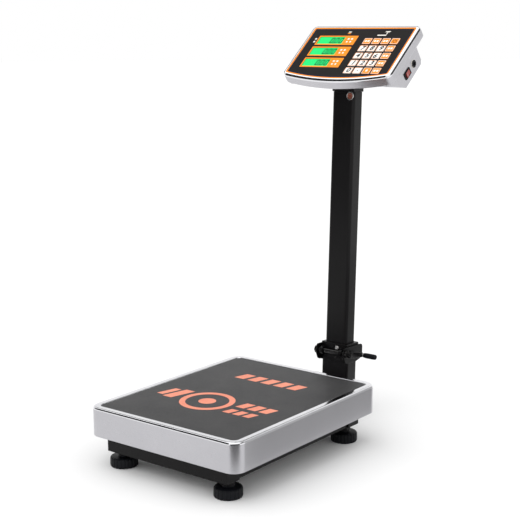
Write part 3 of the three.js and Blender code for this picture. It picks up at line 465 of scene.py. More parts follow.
def make_frame():
    """Cross bars, side rails, the load cell's beam and seat, and the channel back to the post."""
    half = BAR_WIDTH / 2
    rail_end = CROSS_BAR_Y - half + 1
    beam_end = RAIL_OUTER - BAR_WIDTH + 1
    bars = [block(-CROSS_BAR_HALF, CROSS_BAR_HALF, y - half, y + half, FRAME_BOTTOM, FRAME_TOP)
            for y in (-CROSS_BAR_Y, CROSS_BAR_Y)]
    for side in (-1, 1):
        middle = side * (RAIL_OUTER - half)
        bars.append(block(middle - half, middle + half, -rail_end, rail_end,
                          FRAME_BOTTOM + 0.4, FRAME_TOP - 0.4))
    bars.append(block(-beam_end, beam_end, CELL_SEAT_Y - 22, CELL_SEAT_Y + 22,
                      FRAME_BOTTOM + 1, BEAM_TOP))
    bars.append(block(-20, 20, CELL_SEAT_Y - 20, CELL_SEAT_Y + 20, BEAM_TOP - 1, CELL_SEAT_TOP))
    tray_start = CROSS_BAR_Y + half - 1
    section = [(-CHEEK_OUTER, TRAY_TOP), (-CHEEK_OUTER, TRAY_FLOOR - 3), (CHEEK_OUTER, TRAY_FLOOR - 3),
               (CHEEK_OUTER, TRAY_TOP), (CHEEK_INNER, TRAY_TOP), (CHEEK_INNER, TRAY_FLOOR),
               (-CHEEK_INNER, TRAY_FLOOR), (-CHEEK_INNER, TRAY_TOP)]
    bars.append(loft([[(x, y, z) for x, z in section] for y in (tray_start, TRAY_END)]))
    for bar in bars:
        bevel(bar, 1.2, 3)
    piece("welded_frame", [(weld(*bars), paint)], PLATFORM, "base", ["base_frame"], 40)


def rib_depth(angle):
    """How far the gripping ribs dip at this angle: flat lands with rounded grooves between them."""
    wave = math.cos(angle * FOOT_RIBS)
    return 1.6 * max(0, -wave) ** 0.7


def make_foot(place, x, y):
    """Ribbed knob that rounds over at both ends, with a collar on top and a threaded stud."""
    steps = FOOT_RIBS * 8
    angles = [2 * math.pi * i / steps for i in range(steps)]
    rings = []
    for z, grow in ((0, -4), (0.6, -1.2), (2, -0.3), (4, 0), (16.5, 0), (19, -0.6), (20.7, -2),
                    (FOOT_HEIGHT, -4.6)):
        share = 1 if 2 < z < 20.7 else 0.5
        radii = [FOOT_RADIUS + grow - share * rib_depth(angle) for angle in angles]
        rings.append([(r * math.cos(a), r * math.sin(a), z) for r, a in zip(radii, angles)])
    for radius, z in ((14, FOOT_HEIGHT + 0.2), (12.8, FOOT_HEIGHT + 1.4), (12.4, STUD_START)):
        rings.append([(radius * math.cos(a), radius * math.sin(a), z) for a in angles])
    knob = loft(rings)
    stud = [(4, STUD_START - 1), (4.4, STUD_START - 0.6)]
    for turn in range(26):
        z = STUD_START + turn * THREAD_PITCH
        stud += [(5, z), (5, z + 0.3), (4.4, z + 0.75), (4.4, z + 1)]
    stud.append((4, STUD_TOP))
    at = PLATFORM @ Matrix.Translation((x * MM, y * MM, 0))
    piece(f"foot_{place}", [(knob, plastic), (turned(stud, axis="Z", steps=24), zinc)], at,
          f"foot_{place}", [f"foot_knob_{place}"], 50)


# ---- Post, joint and tube ----

def tube_ring(width, depth, radius, inset, z):
    outline = rounded_rect(width - 2 * inset, depth - 2 * inset, max(radius - inset, 0.6), 0,
                           COLUMN_FRONT + depth / 2, 8)
    return [(x, y, z) for x, y in outline]


def make_tube(name, width, depth, radius, wall, low, high, replaces):
    """An open rectangular tube with its end edges eased."""
    profile = [(0.5, low), (0, low + 0.5), (0, high - 0.5), (0.5, high), (wall - 0.3, high),
               (wall, high - 0.3), (wall, low + 0.3), (wall - 0.3, low)]
    shell = loft([tube_ring(width, depth, radius, inset, z) for inset, z in profile], closed=True)
    piece(name, [(shell, paint)], COLUMN, "base" if low < 0 else "column", [replaces], 40)


def make_bracket():
    """U-shaped bracket on the post: two cheeks, a plate under the rod, a seat and a back stop."""
    outline = [*curve((CHEEK_BACK, 6), (CHEEK_BACK, CHEEK_TOP), (CHEEK_BACK - 8, CHEEK_TOP)),
               *curve((-1, CHEEK_TOP), (-7, CHEEK_TOP), (-7.6, 8.5)), (-9.8, -5),
               *curve((-3.5, -19), (0, CHEEK_BOTTOM + 0.8), (9, CHEEK_BOTTOM)),
               (CHEEK_BACK - 26, CHEEK_BOTTOM), (CHEEK_BACK - 9, CHEEK_BOTTOM + 4), (CHEEK_BACK, -10)]
    cheeks = [prism_x(outline, x0, x1)
              for x0, x1 in ((-CHEEK_OUTER, -CHEEK_INNER), (CHEEK_INNER, CHEEK_OUTER))]
    for cheek in cheeks:
        bevel(cheek, 0.8, 3, 50)
    wide = CHEEK_OUTER - 1.6
    plates = [block(-wide, wide, PLATE_FRONT, COLUMN_FRONT - 0.4, CHEEK_BOTTOM, -3),
              block(-wide, wide, PLATE_FRONT, CHEEK_BACK - 1, -6, -2.5),
              block(-wide, wide, CHEEK_BACK - 4.2, CHEEK_BACK - 1, -6, 12)]
    for plate in plates:
        bevel(plate, 0.5, 2)
    whole = weld(*cheeks, *plates)
    piece("joint_bracket", [(whole, paint)], COLUMN, "base", ["hinge_base_bracket"])


def dome(x, z, face, radius, height, steps=24):
    """A low round screw head on a face that looks towards the operator."""
    profile = [(radius, face + 0.4), (radius, face - height * 0.3), (radius * 0.8, face - height * 0.75),
               (radius * 0.4, face - height), (radius * 0.34, face - height * 0.55),
               (0.2, face - height * 0.5)]
    return turned_y(profile, x, z, steps)


def make_bracket_screws():
    """Two low screws, one beside the other, in the bracket's front plate."""
    height, radius, rise = -15, 2.8, 1.6
    heads = [dome(x, height, PLATE_FRONT, radius, rise) for x in (4, 26)]
    piece("bracket_screws", [(head, steel) for head in heads], COLUMN, "base")


def make_collar():
    """Collar round the tube's foot, bowed in front, with two eyes that hang on the clamp rod."""
    half, back = COLLAR_HALF, COLLAR_BACK
    rear = [(half - 3, back), (-half + 3, back), *arc(-half + 3, back - 3, 3, 90, 180, 4)[1:]]
    front = curve((-half, COLLAR_SIDE), (0, COLLAR_BOW), (half, COLLAR_SIDE), 20)
    outline = [*rear, *front, *arc(half - 3, back - 3, 3, 0, 90, 4)[:-1]]
    sleeve = bevel(prism_z(outline, COLLAR_BOTTOM, COLLAR_TOP), 1.4, 4, 50)
    hole = rounded_rect(TUBE_WIDTH + 0.6, TUBE_DEPTH + 0.6, 7.8, 0, COLUMN_FRONT + TUBE_DEPTH / 2)
    sleeve = cut(sleeve, prism_z(hole, COLLAR_SHELF, COLLAR_TOP + 5.5))
    eyes = []
    for x0, x1 in ((-EYE_OUTER, -EYE_INNER), (EYE_INNER, EYE_OUTER)):
        tongue = [(COLLAR_SIDE + 2, COLLAR_BOTTOM + 0.3), *arc(0, 0, EYE_RADIUS, 348, 90, 26),
                  (COLLAR_SIDE + 2, EYE_RADIUS - 0.1)]
        eyes.append(bevel(prism_x(tongue, x0, x1), 0.7, 2, 50))
    whole = cut(weld(sleeve, *eyes), turned([(ROD_RADIUS + GAP, -40), (ROD_RADIUS + GAP, 40)]))
    piece("joint_collar", [(whole, paint)], COLUMN, "column", ["hinge_collar"])


def hexagon(radius, turn=0):
    """Corners of a hexagon, turned by degrees."""
    angles = [math.radians(60 * i + turn) for i in range(6)]
    return [(radius * math.cos(angle), radius * math.sin(angle)) for angle in angles]


def make_collar_screw():
    """Hex screw with its washer, in the collar's bowed front above the rod."""
    back = (COLLAR_SIDE + COLLAR_BOW) / 2 - 0.2
    head = loft([[(SCREW_X + p * k, y, SCREW_Z + q * k) for p, q in hexagon(SCREW_RADIUS - 0.8, 12)]
                 for y, k in ((back - 0.6, 1), (back - 2.5, 1), (back - 3, 0.86))])
    rim = [(SCREW_RADIUS, back), (SCREW_RADIUS, back - 0.7), (SCREW_RADIUS - 0.4, back - 1)]
    washer = turned_y(rim, SCREW_X, SCREW_Z, 28)
    piece("collar_screw_steel", [(head, zinc), (washer, zinc)], COLUMN, "column",
          ["collar_screw"])


def make_rod():
    """Clamp rod: threaded at the nut's end, with a shoulder against the other cheek."""
    profile = [(4.2, ROD_START), (ROD_RADIUS, ROD_START + 0.6)]
    for turn in range(4):
        x = ROD_START + 0.8 + turn * 1.6
        profile += [(ROD_RADIUS, x), (ROD_RADIUS, x + 0.4), (4.3, x + 0.8), (4.3, x + 1.2)]
    shoulder = CHEEK_OUTER + GAP
    profile += [(ROD_RADIUS, -40.8), (ROD_RADIUS, shoulder), (8.4, shoulder), (9, shoulder + 0.6),
                (9, 45.4), (8.4, 46), (ROD_RADIUS, 46.2), (ROD_RADIUS, ROD_END - 0.7), (4.3, ROD_END)]
    piece("clamp_rod_steel", [(turned(profile), steel)], COLUMN, "crank", ["clamp_rod"])


def make_rod_nut():
    low, high = NUT_OUTER, -CHEEK_OUTER - GAP
    nut = loft([[(x, p * k, q * k) for p, q in hexagon(9.4)]
                for x, k in ((low, 0.86), (low + 0.9, 1), (high - 0.9, 1), (high, 0.86))])
    nut = cut(nut, turned([(ROD_RADIUS + GAP, -60), (ROD_RADIUS + GAP, 0)]))
    piece("rod_nut", [(nut, steel)], COLUMN, "base", ["clamp_rod_nut"])


def make_crank():
    """Flat arm from the rod's hub back to the grip's pin."""
    lean = math.degrees(math.atan2(CRANK_REACH_Z, CRANK_REACH_Y))
    hub_radius, tip_radius = 8, 6
    outline = [*arc(0, 0, hub_radius, lean + 90, lean + 270, 16),
               *arc(CRANK_REACH_Y, CRANK_REACH_Z, tip_radius, lean - 90, lean + 90, 12)]
    arm = bevel(prism_x(outline, CRANK_X, CRANK_X + CRANK_THICKNESS), 1.2, 3, 50)
    hub = turned([(hub_radius - 0.6, CRANK_X - 3), (hub_radius, CRANK_X - 2.4),
                  (hub_radius, CRANK_X + 3)])
    whole = cut(weld(arm, hub), turned([(ROD_RADIUS + 0.1, 0), (ROD_RADIUS + 0.1, 100)]))
    pin = turned([(3, CRANK_X + 2), (3, CRANK_X + PIN_LENGTH - 0.6), (2.4, CRANK_X + PIN_LENGTH)],
                 (CRANK_REACH_Y, CRANK_REACH_Z), steps=24)
    piece("crank", [(whole, paint), (pin, steel)], COLUMN, "crank", ["crank_arm"])


def make_grip():
    """Spinning grip with a waisted body, a steel ferrule at its inner end and fine grip rings."""
    start = CRANK_X + CRANK_THICKNESS + 0.8
    end = start + GRIP_LENGTH
    at = (CRANK_REACH_Y, CRANK_REACH_Z)
    ferrule = turned([(GRIP_BORE, start), (4.3, start), (4.9, start + 0.5), (5.1, start + 3.6),
                      (4.7, start + 4.2), (GRIP_BORE, start + 4.2)], at, closed=True)
    body = [(GRIP_BORE, start + 4.4), (4.8, start + 4.4), (5.6, start + 5.4),
            (GRIP_RADIUS - 0.2, start + 9)]
    for ring in range(7):
        x = start + 12 + ring * 2.9
        body += [(GRIP_RADIUS, x), (GRIP_RADIUS, x + 1.9),
                 (GRIP_RADIUS - 0.3, x + 2.2), (GRIP_RADIUS - 0.3, x + 2.6)]
    bore_end = CRANK_X + PIN_LENGTH + 1
    body += [(GRIP_RADIUS, end - 5), (GRIP_RADIUS - 0.3, end - 3), (GRIP_RADIUS - 1.3, end - 1.2),
             (GRIP_RADIUS - 3, end - 0.2), (0.6, end), (0.6, bore_end), (GRIP_BORE, bore_end)]
    grip = turned(body, at, closed=True)
    piece("grip", [(grip, plastic), (ferrule, zinc)], COLUMN, "grip", ["crank_grip"],
          50)


def make_cap():
    """Screw cap on the tube's front: a pale metal ring round a dished copper-brown plug."""
    face = COLUMN_FRONT - GAP
    ring = turned_y([(CAP_RADIUS - 2.2, face), (CAP_RADIUS, face), (CAP_RADIUS, face - 1.5),
                     (CAP_RADIUS - 0.5, face - 2.2), (CAP_RADIUS - 1.6, face - 2.2),
                     (CAP_RADIUS - 2.2, face - 1.6)], CAP_X, CAP_Z, 44, closed=True)
    plug = turned_y([(CAP_RADIUS - 2.3, face), (CAP_RADIUS - 2.3, face - 1.2),
                     (CAP_RADIUS - 3.4, face - 1.9), (4.4, face - 1.7), (3.6, face - 1),
                     (0.3, face - 0.9)], CAP_X, CAP_Z, 44)
    piece("screw_cap", [(ring, zinc), (plug, copper)], COLUMN, "column",
          ["bracket_screw_cap"])


# ---- Indicator head ----

def face_outline(grow, corner, steps=8, arc_steps=44):
    """Outline of the face, grown or shrunk: straight top and sides, and one large arc below."""
    radius = FACE_HALF ** 2 / (2 * FACE_BULGE) + FACE_BULGE / 2 + grow
    centre = radius - grow - FACE_BULGE
    half, top = FACE_HALF + grow, FACE_HEIGHT + grow
    low = centre - math.sqrt(radius ** 2 - half ** 2)
    end = math.degrees(math.asin((half - corner) / radius))
    lower = arc(0, centre, radius, 270 - end, 270 + end, arc_steps)
    return [*curve((half, top - corner), (half, top), (half - corner, top), steps),
            *curve((-half + corner, top), (-half, top), (-half, top - corner), steps),
            *curve((-half, low + corner), (-half, low), lower[0], steps), *lower[1:-1],
            *curve(lower[-1], (half, low), (half, low + corner), steps)]


def face_ring(grow, w, corner=None):
    outline = face_outline(grow, 3 + 0.78 * grow if corner is None else corner)
    return [(u, v, w) for u, v in outline]


def side_hole(v, w, width, height):
    return block(FACE_HALF, BOX_SIDE + 20, v - width / 2, v + width / 2, w - height / 2, w + height / 2)


def quarter_turn(grow, w, radius, start, steps=8):
    """Edge of a ring's wall as it rounds over: start 0 rises outwards to the wall, 90 leaves it."""
    return [(grow + radius * math.sin(a), w + radius * math.cos(a))
            for a in (math.radians(start + 90 * i / steps) for i in range(steps + 1))]


def inset_polygon(points, distance):
    """Moves every side of a counter-clockwise polygon inwards."""
    sides = []
    for (x, y), (next_x, next_y) in zip(points, points[1:] + points[:1]):
        along = Vector((next_x - x, next_y - y)).normalized()
        sides.append((Vector((x, y)) + distance * Vector((-along.y, along.x)), along))
    corners = []
    for (before, before_along), (start, along) in zip(sides[-1:] + sides[:-1], sides):
        reach = (start - before).cross(along) / before_along.cross(along)
        corners.append(tuple(before + before_along * reach))
    return corners


def deep_back(inset):
    """The deep box behind the tray: the face's outline a little smaller, cut to its side view."""
    side = [(BOX_START, -14), (BOX_START, -TRAY_DEPTH + 2), (BOX_LOW, -BOX_DEPTH),
            (BOX_HIGH, -BOX_DEPTH), (BOX_TOP - 1.5, -BOX_DEPTH + 7), (BOX_TOP, -14)]
    wide = BOX_SIDE + 20
    stock = loft([face_ring(BOX_GROW - inset, w, BOX_CORNER - inset) for w in (-BOX_DEPTH - 20, 0)])
    return combine(stock, prism_x(inset_polygon(side, inset), -wide, wide), "INTERSECT")


def make_shell():
    """Stainless tray with a polished, rounded lip round the panel, and a deep box behind its middle."""
    crest = SHELL_GROW - LIP_ROUND
    walls = [(1, -4.4), (1, -0.5), (1.15, -0.15), (1.5, 0)]
    walls += quarter_turn(crest, -LIP_ROUND, LIP_ROUND, 0, 12)
    walls += quarter_turn(SHELL_GROW - 5, -TRAY_DEPTH + 5, 5, 90, 8)
    tray = loft([face_ring(grow, w, 4 + grow) for grow, w in walls])
    outside = bevel(deep_back(0), 3.5, 5, 24, lambda e: max(v.co.z for v in e.verts) < -TRAY_DEPTH - 4)
    hollow = loft([face_ring(grow, w, 4 + grow) for grow, w in ((4, -5.3), (7, -9), (7, -24), (4, -27))])
    opening = loft([face_ring(-4, w, 3) for w in (-7, 1)])
    middle = (BOX_LOW + BOX_HIGH) / 2
    back = block(-120, 120, middle - 28, middle + 28, -BOX_DEPTH - 5, -BOX_DEPTH + 5)
    socket_hole = turned([(7.4, FACE_HALF), (7.4, FACE_HALF + 20)], (SOCKET_V, SOCKET_W))
    shell = cut(combine(tray, outside, "UNION"), hollow, deep_back(2), opening, back,
                side_hole(SWITCH_V, SWITCH_W, SWITCH_LENGTH + 2 * GAP, SWITCH_HEIGHT + 2 * GAP),
                socket_hole)
    obj = piece("indicator_shell", [(shell, stainless)], HEAD, "column", ["head_shell"], 30)
    polish(obj, HEAD, -LIP_ROUND - 1)


def window_centres():
    return [WINDOW_TOP_Y - i * WINDOW_PITCH for i in range(3)]


def key_places():
    """Row, column and middle of each key."""
    for row in range(5):
        for col in range(4):
            yield row, col, KEY_FIRST_X + col * KEY_PITCH_X, KEY_FIRST_Y - row * KEY_PITCH_Y


def frame_strip(outer, inner, low, high):
    """A flat printed line between two outlines with the same number of points."""
    rings = [[(x, y, z) for x, y in outline]
             for outline, z in ((inner, low), (outer, low), (outer, high), (inner, high))]
    return loft(rings, closed=True)


def make_panel():
    """Face film, a little rounded at its edge, with its window and key openings."""
    rings = ((0.7, PANEL_BACK), (0.7, PANEL_TOP - 0.15), (0.5, PANEL_TOP))
    plate = loft([face_ring(grow, w) for grow, w in rings])
    outlines = [rounded_rect(WINDOW_WIDTH, WINDOW_HEIGHT, 1, WINDOW_X, y) for y in window_centres()]
    outlines += [rounded_rect(KEY_WIDTH + 2 * GAP, KEY_HEIGHT + 2 * GAP, 1.5, x, y)
                 for _, _, x, y in key_places()]
    holes = [prism_z(outline, -6, 2) for outline in outlines]
    piece("face_film", [(cut(plate, *holes), film)], HEAD, "column", ["face_panel"])


def make_panel_print():
    """Orange border, window frames and label blocks, with fine navy lines and plain pale marks."""
    low, high = PANEL_TOP - 0.06, PANEL_TOP + 0.1
    label_x, label_pitch = -20, 4.8
    parts = [(frame_strip(face_outline(0.6, 3.5), face_outline(-2.8, 2.2), low, high), orange),
             (frame_strip(face_outline(-2.9, 2.2), face_outline(-6.4, 2), low, high - 0.05), navy)]
    for y in window_centres():
        parts.append((window_frame(y, low, high), orange))
        for x in (label_x - label_pitch, label_x + label_pitch):
            for dy, width in ((5, 5.4), (-5, 4.2)):
                parts.append((slanted_bar(x, y + dy, width, 5, high - 0.02, high + 0.06, 0), pale))
    for dy, colour in ((3.4, pale), (-1.6, orange)):
        parts.append((slanted_bar(-33, 140 + dy, 8, 3, low, high, 0.2), colour))
    for dy in (5, -5):
        parts.append((slanted_bar(-118, WINDOW_TOP_Y + dy, 5, 5, low, high, 0), pale))
    parts += [(part, pale) for part in emblem(low, high)]
    piece("face_print", parts, HEAD, "column")


def window_frame(y, low, high):
    """Orange surround of one window, as wide again on its right for the label block."""
    outline = rounded_rect(110, 33, 1.5, -57, y)
    hole = rounded_rect(WINDOW_WIDTH, WINDOW_HEIGHT, 1, WINDOW_X, y)
    return cut(prism_z(outline, low, high), prism_z(hole, low - 1, high + 1))


def emblem(low, high):
    """A generic pictogram of a scale: a platform, a post and a tilted head."""
    middle, base = 66, 132
    yield slanted_bar(middle - 6, base, 24, 3.4, low, high, 0)
    yield slanted_bar(middle + 5.2, base + 6.4, 2.2, 7, low, high, 0.1)
    yield slanted_bar(middle + 5.4, base + 12.4, 12, 3.4, low, high, 0.8)


# The lit segments of a zero: place across and up from the digit's middle, and whether it is upright
ZERO_SEGMENTS = ((0, 1, False), (0.5, 0.5, True), (0.5, -0.5, True),
                 (0, -1, False), (-0.5, -0.5, True), (-0.5, 0.5, True))


def segment_zero(x, y, low, high, width=9.2, height=19, stroke=2.5, slant=0.14):
    """Seven-segment zero: each lit segment is a long hexagon with a small gap at its ends."""
    for across, up, upright in ZERO_SEGMENTS:
        middle = (x + across * (width - stroke), y + up * (height - stroke) / 2)
        reach = ((height - stroke) / 2 if upright else width - stroke) / 2 + (0.9 if upright else 0.4)
        outline = [(-reach, 0), (-reach + stroke / 2, -stroke / 2), (reach - stroke / 2, -stroke / 2),
                   (reach, 0), (reach - stroke / 2, stroke / 2), (-reach + stroke / 2, stroke / 2)]
        if upright:
            outline = [(-q, p) for p, q in outline]
        placed = [(middle[0] + p + (middle[1] + q - y) * slant, middle[1] + q) for p, q in outline]
        yield prism_z(placed, low, high)


def make_lcd(index, y):
    """One window: a green glass on its module, three slanted zeros and a decimal point."""
    first_digit, digit_pitch, point = -68.4, 12.5, -62.6
    left, right = WINDOW_X - WINDOW_WIDTH / 2 + GAP, WINDOW_X + WINDOW_WIDTH / 2 - GAP
    top = PANEL_TOP - 0.7
    half = WINDOW_HEIGHT / 2 - GAP
    glass = weld(bevel(block(left, right, y - half, y + half, -4, top), 0.3, 2),
                 block(WINDOW_X - 39, WINDOW_X + 39, y - 16, y + 16, -9, -3.7))
    parts = [(glass, lcd_green)]
    for i in range(3):
        parts += [(part, lcd_ink)
                  for part in segment_zero(first_digit + i * digit_pitch, y, top - 0.04, top + 0.08)]
    parts.append((slanted_bar(point, y - 9, 2.6, 2.6, top - 0.04, top + 0.08, 0), lcd_ink))
    piece(f"lcd_{index}", parts, HEAD, "column", [f"lcd_module_{index}"])


def glyph(text, x, y, size, low, high, slant=0.22):
    """A flat raised numeral in Blender's own typeface, made bold and slanted.

    A six is a nine turned round, because a bold six fills badly.
    """
    turn = math.pi if text == "6" else 0
    data = bpy.data.curves.new("glyph", "FONT")
    data.body, data.size, data.shear, data.offset = "9" if turn else text, size, slant, size * 0.03
    data.extrude, data.align_x, data.align_y = (high - low) / 2, "CENTER", "CENTER"
    obj = bpy.data.objects.new("glyph", data)
    mesh = bpy.data.meshes.new_from_object(obj)
    bpy.data.objects.remove(obj)
    bpy.data.curves.remove(data)
    bm = bmesh.new()
    bm.from_mesh(mesh)
    bpy.data.meshes.remove(mesh)
    bmesh.ops.remove_doubles(bm, verts=bm.verts, dist=0.001)
    bm.transform(Matrix.Translation((x, y, (low + high) / 2)) @ Matrix.Rotation(turn, 4, "Z"))
    return bm


KEY_TEXT = {(1, 0): "7", (1, 1): "8", (1, 2): "9", (2, 0): "4", (2, 1): "5", (2, 2): "6",
            (3, 0): "1", (3, 1): "2", (3, 2): "3", (4, 0): "0", (4, 1): "."}


def power_symbol(x, y, low, high):
    """Open ring with a short bar: the generic sign for power."""
    outer = arc(x, y, 5.2, -240, 60, 28)
    inner = arc(x, y, 3.6, 60, -240, 28)
    yield prism_z(outer + inner, low, high)
    yield slanted_bar(x, y + 4, 1.6, 5, low, high, 0)


def make_key(row, col, x, y):
    """A keycap with a printed rim and its numeral, power sign or plain bars."""
    text = KEY_TEXT.get((row, col))
    face = white if text else orange
    rings = [(0, -4), (0, KEY_TOP - 0.5), (0.12, KEY_TOP - 0.2), (0.5, KEY_TOP)]
    cap = loft([[(p, q, w) for p, q in rounded_rect(KEY_WIDTH - 2 * inset, KEY_HEIGHT - 2 * inset,
                                                   1.4 - inset / 2, x, y, 4)] for inset, w in rings])
    low, high = KEY_TOP - 0.05, KEY_TOP + 0.07
    rim = [rounded_rect(KEY_WIDTH - 2 * inset, KEY_HEIGHT - 2 * inset, 1, x, y, 4)
           for inset in (0.6, 1.5)]
    parts = [(cap, face), (frame_strip(*rim, low, high), orange if text else pale)]
    if text == ".":
        parts.append((turned([(1.5, low), (1.5, high)], (x, y), "Z", 20), ink))
    elif text:
        parts.append((glyph(text, x, y, 19, low, high), ink))
    elif (row, col) == (0, 3):
        parts += [(part, ink) for part in power_symbol(x, y - 0.4, low, high)]
    else:
        for dx in ((-3.6, 3.6) if row != 4 or col != 2 else (0,)):
            parts.append((slanted_bar(x + dx, y, 5.4, 6.4, low, high, 0.1), pale))
    name = f"r{row + 1}_c{col + 1}"
    piece(f"keycap_{name}", parts, HEAD, f"key_{name}_cap",
          [f"key_{name}"])


def make_switch():
    """Bezel outside the box, body inside it, and a well for the rocker."""
    outside = BOX_SIDE
    half_v, half_w = SWITCH_LENGTH / 2, SWITCH_HEIGHT / 2
    well_v, well_w = half_v - SWITCH_WALL, half_w - SWITCH_WALL
    flange = prism_x(rounded_rect(27, 18, 2, SWITCH_V, SWITCH_W), outside + GAP, outside + FLANGE)
    bezel = bevel(flange, 0.7, 3, 50)
    body = block(outside - 18, outside + 1, SWITCH_V - half_v, SWITCH_V + half_v,
                 SWITCH_W - half_w, SWITCH_W + half_w)
    well = block(outside - 9, outside + 5, SWITCH_V - well_v, SWITCH_V + well_v,
                 SWITCH_W - well_w, SWITCH_W + well_w)
    piece("switch_housing", [(cut(weld(bezel, body), well), plastic)], HEAD, "column",
          ["switch_body"])


def make_rocker():
    """Rocker with a dished top; its upper end is pressed in."""
    pivot = BOX_SIDE + FLANGE - 2.5
    tilt = math.radians(8)
    dish = curve((-9, 3.9), (0, 1.1), (9, 3.9), 12)
    outline = [*dish, (7.6, -3.6), (-7.6, -3.6)]
    turned_outline = [(SWITCH_V + v * math.cos(tilt) + out * math.sin(tilt),
                       pivot - v * math.sin(tilt) + out * math.cos(tilt)) for v, out in outline]
    rocker = loft([[(out, v, w) for v, out in turned_outline] for w in (SWITCH_W - 6, SWITCH_W + 6)])
    piece("rocker", [(bevel(rocker, 0.5, 3, 35), red)], HEAD, "rocker", ["power_rocker"])


def make_socket():
    """Round charger socket: a flanged sleeve with a centre pin, and a thin bright rim."""
    outside = BOX_SIDE
    at = (SOCKET_V, SOCKET_W)
    flange = turned([(4, outside - 13), (7, outside - 13), (7, outside + GAP), (9, outside + GAP),
                     (9, outside + 1.5), (8.5, outside + FLANGE), (5, outside + FLANGE),
                     (4.2, outside + 1.4)], at, closed=True)
    floor = turned([(4.2, outside - 13), (4.2, outside - 11)], at)
    pin = turned([(1, outside - 11.4), (1, outside - 1.6), (0.6, outside - 1)], at, steps=20)
    rim = turned([(9.1, outside + 0.1), (9.7, outside + 0.1), (9.7, outside + 0.7),
                  (9.1, outside + 0.9)], at, closed=True)
    piece("charger_socket", [(flange, plastic), (floor, plastic), (pin, zinc), (rim, pale)], HEAD,
          "column", ["charge_socket"])


# ---- CAD nodes that keep their own shape ----

def finish_cad_node(name, material, round_edge=0.4):
    """Gives a CAD node its material and rounds its edges, in millimetres."""
    obj = frame["nodes"][name]
    obj.data.materials.clear()
    obj.data.materials.append(material)
    edges = obj.modifiers.new("edges", "BEVEL")
    edges.width = round_edge * MM
    edges.segments = 2
    edges.limit_method = "ANGLE"
    edges.angle_limit = math.radians(40)


# ---- Studio ----

WORLD_WHITE, WORLD_LIGHT = 1.0, 0.85


def sun(name, direction, strength, spread):
    """A very soft sun that shines along direction."""
    data = bpy.data.lights.new(name, "SUN")
    data.energy, data.angle = strength, math.radians(spread)
    light = bpy.data.objects.new(name, data)
    bpy.context.scene.collection.objects.link(light)
    light.rotation_mode = "QUATERNION"
    light.rotation_quaternion = Vector(direction).to_track_quat("-Z", "Y")


def reflection_card(name, centre, turn, width, height, level):
    """An upright studio card that only reflections see, turned by degrees from the X axis."""
    material = bpy.data.materials.new(name)
    material.use_nodes = True
    material.node_tree.nodes.clear()
    glow = add_node(material, "ShaderNodeEmission", Strength=level)
    output = add_node(material, "ShaderNodeOutputMaterial")
    connect(material, glow.outputs["Emission"], output.inputs["Surface"])
    half = Matrix.Rotation(math.radians(turn), 3, "Z") @ Vector((width / 2, 0, 0))
    rise = Vector((0, 0, height / 2))
    left, right = Vector(centre) - half, Vector(centre) + half
    mesh = bpy.data.meshes.new(name)
    mesh.from_pydata([left - rise, right - rise, right + rise, left + rise], [], [(0, 1, 2, 3)])
    mesh.materials.append(material)
    card = bpy.data.objects.new(name, mesh)
    bpy.context.scene.collection.objects.link(card)
    for ray in ("camera", "diffuse", "shadow", "transmission", "volume_scatter"):
        setattr(card, f"visible_{ray}", False)


def make_floor():
    bm = bmesh.new()
    bmesh.ops.create_circle(bm, cap_ends=True, radius=30, segments=96)
    mesh = bpy.data.meshes.new("floor")
    bm.to_mesh(mesh)
    bm.free()
    white = surface("floor_white", (0.88, 0.88, 0.88), (0.9, 0.9, 0.9), (0.8, 0.9), patch=2,
                    Specular_IOR_Level=0.0)
    mesh.materials.append(white)
    floor = bpy.data.objects.new("floor", mesh)
    bpy.context.scene.collection.objects.link(floor)


def make_world():
    """White to look at and in reflections, and dimmer as a light, so that the suns model the shapes."""
    world = bpy.data.worlds.new("studio")
    world.use_nodes = True
    nodes, links = world.node_tree.nodes, world.node_tree.links
    rays = nodes.new("ShaderNodeLightPath")
    level = nodes.new("ShaderNodeMapRange")
    level.inputs["To Min"].default_value = WORLD_WHITE
    level.inputs["To Max"].default_value = WORLD_LIGHT
    links.new(rays.outputs["Is Diffuse Ray"], level.inputs["Value"])
    links.new(level.outputs["Result"], nodes["Background"].inputs["Strength"])
    nodes["Background"].inputs["Color"].default_value = (1, 1, 1, 1)
    bpy.context.scene.world = world
    bpy.context.scene.view_settings.view_transform = "Standard"


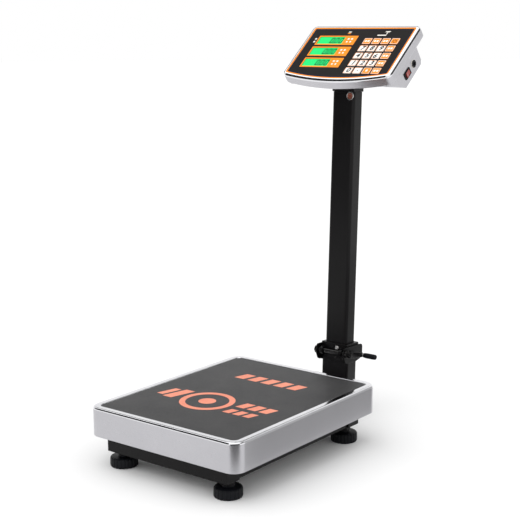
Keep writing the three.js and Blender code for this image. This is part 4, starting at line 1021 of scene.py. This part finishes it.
def make_camera():
    data = bpy.data.cameras.new("camera")
    data.lens = 83.02
    data.sensor_width = 36
    camera = bpy.data.objects.new("camera", data)
    bpy.context.scene.collection.objects.link(camera)
    turn, dip, roll = 37.86, 11.03, -0.286      # degrees
    camera.rotation_mode = "QUATERNION"
    camera.rotation_quaternion = (Matrix.Rotation(math.radians(turn), 3, "Z")
                                  @ Matrix.Rotation(math.radians(90 - dip), 3, "X")
                                  @ Matrix.Rotation(math.radians(roll), 3, "Z")).to_quaternion()
    camera.location = (1.5646, -2.0597, 0.9096)
    bpy.context.scene.camera = camera


# ---- Assembly ----

make_camera()
make_world()
make_floor()
sun("key", (0.45, 0.5, -1), 0.9, 80)
sun("fill", (-0.5, 0.3, -1), 0.6, 90)
reflection_card("corner_flag", (0.36, -0.53, 0.15), 48, 0.4, 0.3, 0.08)
reflection_card("side_card", (0.3, 0.25, 0.15), 90, 1.0, 0.3, 0.5)
reflection_card("front_flag", (-0.9, -1.2, 1.5), -36, 2.4, 2.3, 0.03)
reflection_card("rear_flag", (1.54, 0.9, 2.05), -60, 2.2, 2.0, 0.06)
reflection_card("left_card", (-1.2, 1.1, 1.6), 48, 2.0, 1.3, 0.12)

make_pan()
make_mat()
make_mat_print()
make_frame()
for place, side, end in CORNERS:
    make_foot(place, side * FOOT_X, end * FOOT_Y)
make_tube("post", POST_WIDTH, POST_DEPTH, 4, 2.5, POST_BOTTOM, POST_TOP, "lower_post")
make_tube("tube", TUBE_WIDTH, TUBE_DEPTH, 7.5, 2, TUBE_BOTTOM, TUBE_TOP, "upper_tube")
make_bracket()
make_bracket_screws()
make_collar()
make_collar_screw()
make_rod()
make_rod_nut()
make_crank()
make_grip()
make_cap()
make_shell()
make_panel()
make_panel_print()
for number, height in enumerate(window_centres(), 1):
    make_lcd(number, height)
for key in key_places():
    make_key(*key)
make_switch()
make_rocker()
make_socket()

for name, material in (("load_cell", aluminium), ("top_frame", paint), ("head_back_cover", stainless),
                       ("main_board", board), ("battery", battery_case)):
    finish_cad_node(name, material)
finish_cad_node("head_bracket", paint, 4.5)
for place, _, _ in CORNERS:
    finish_cad_node(f"pan_pad_{place}", rubber, 0.8)
    finish_cad_node(f"foot_jam_nut_{place}", paint, 0.6)
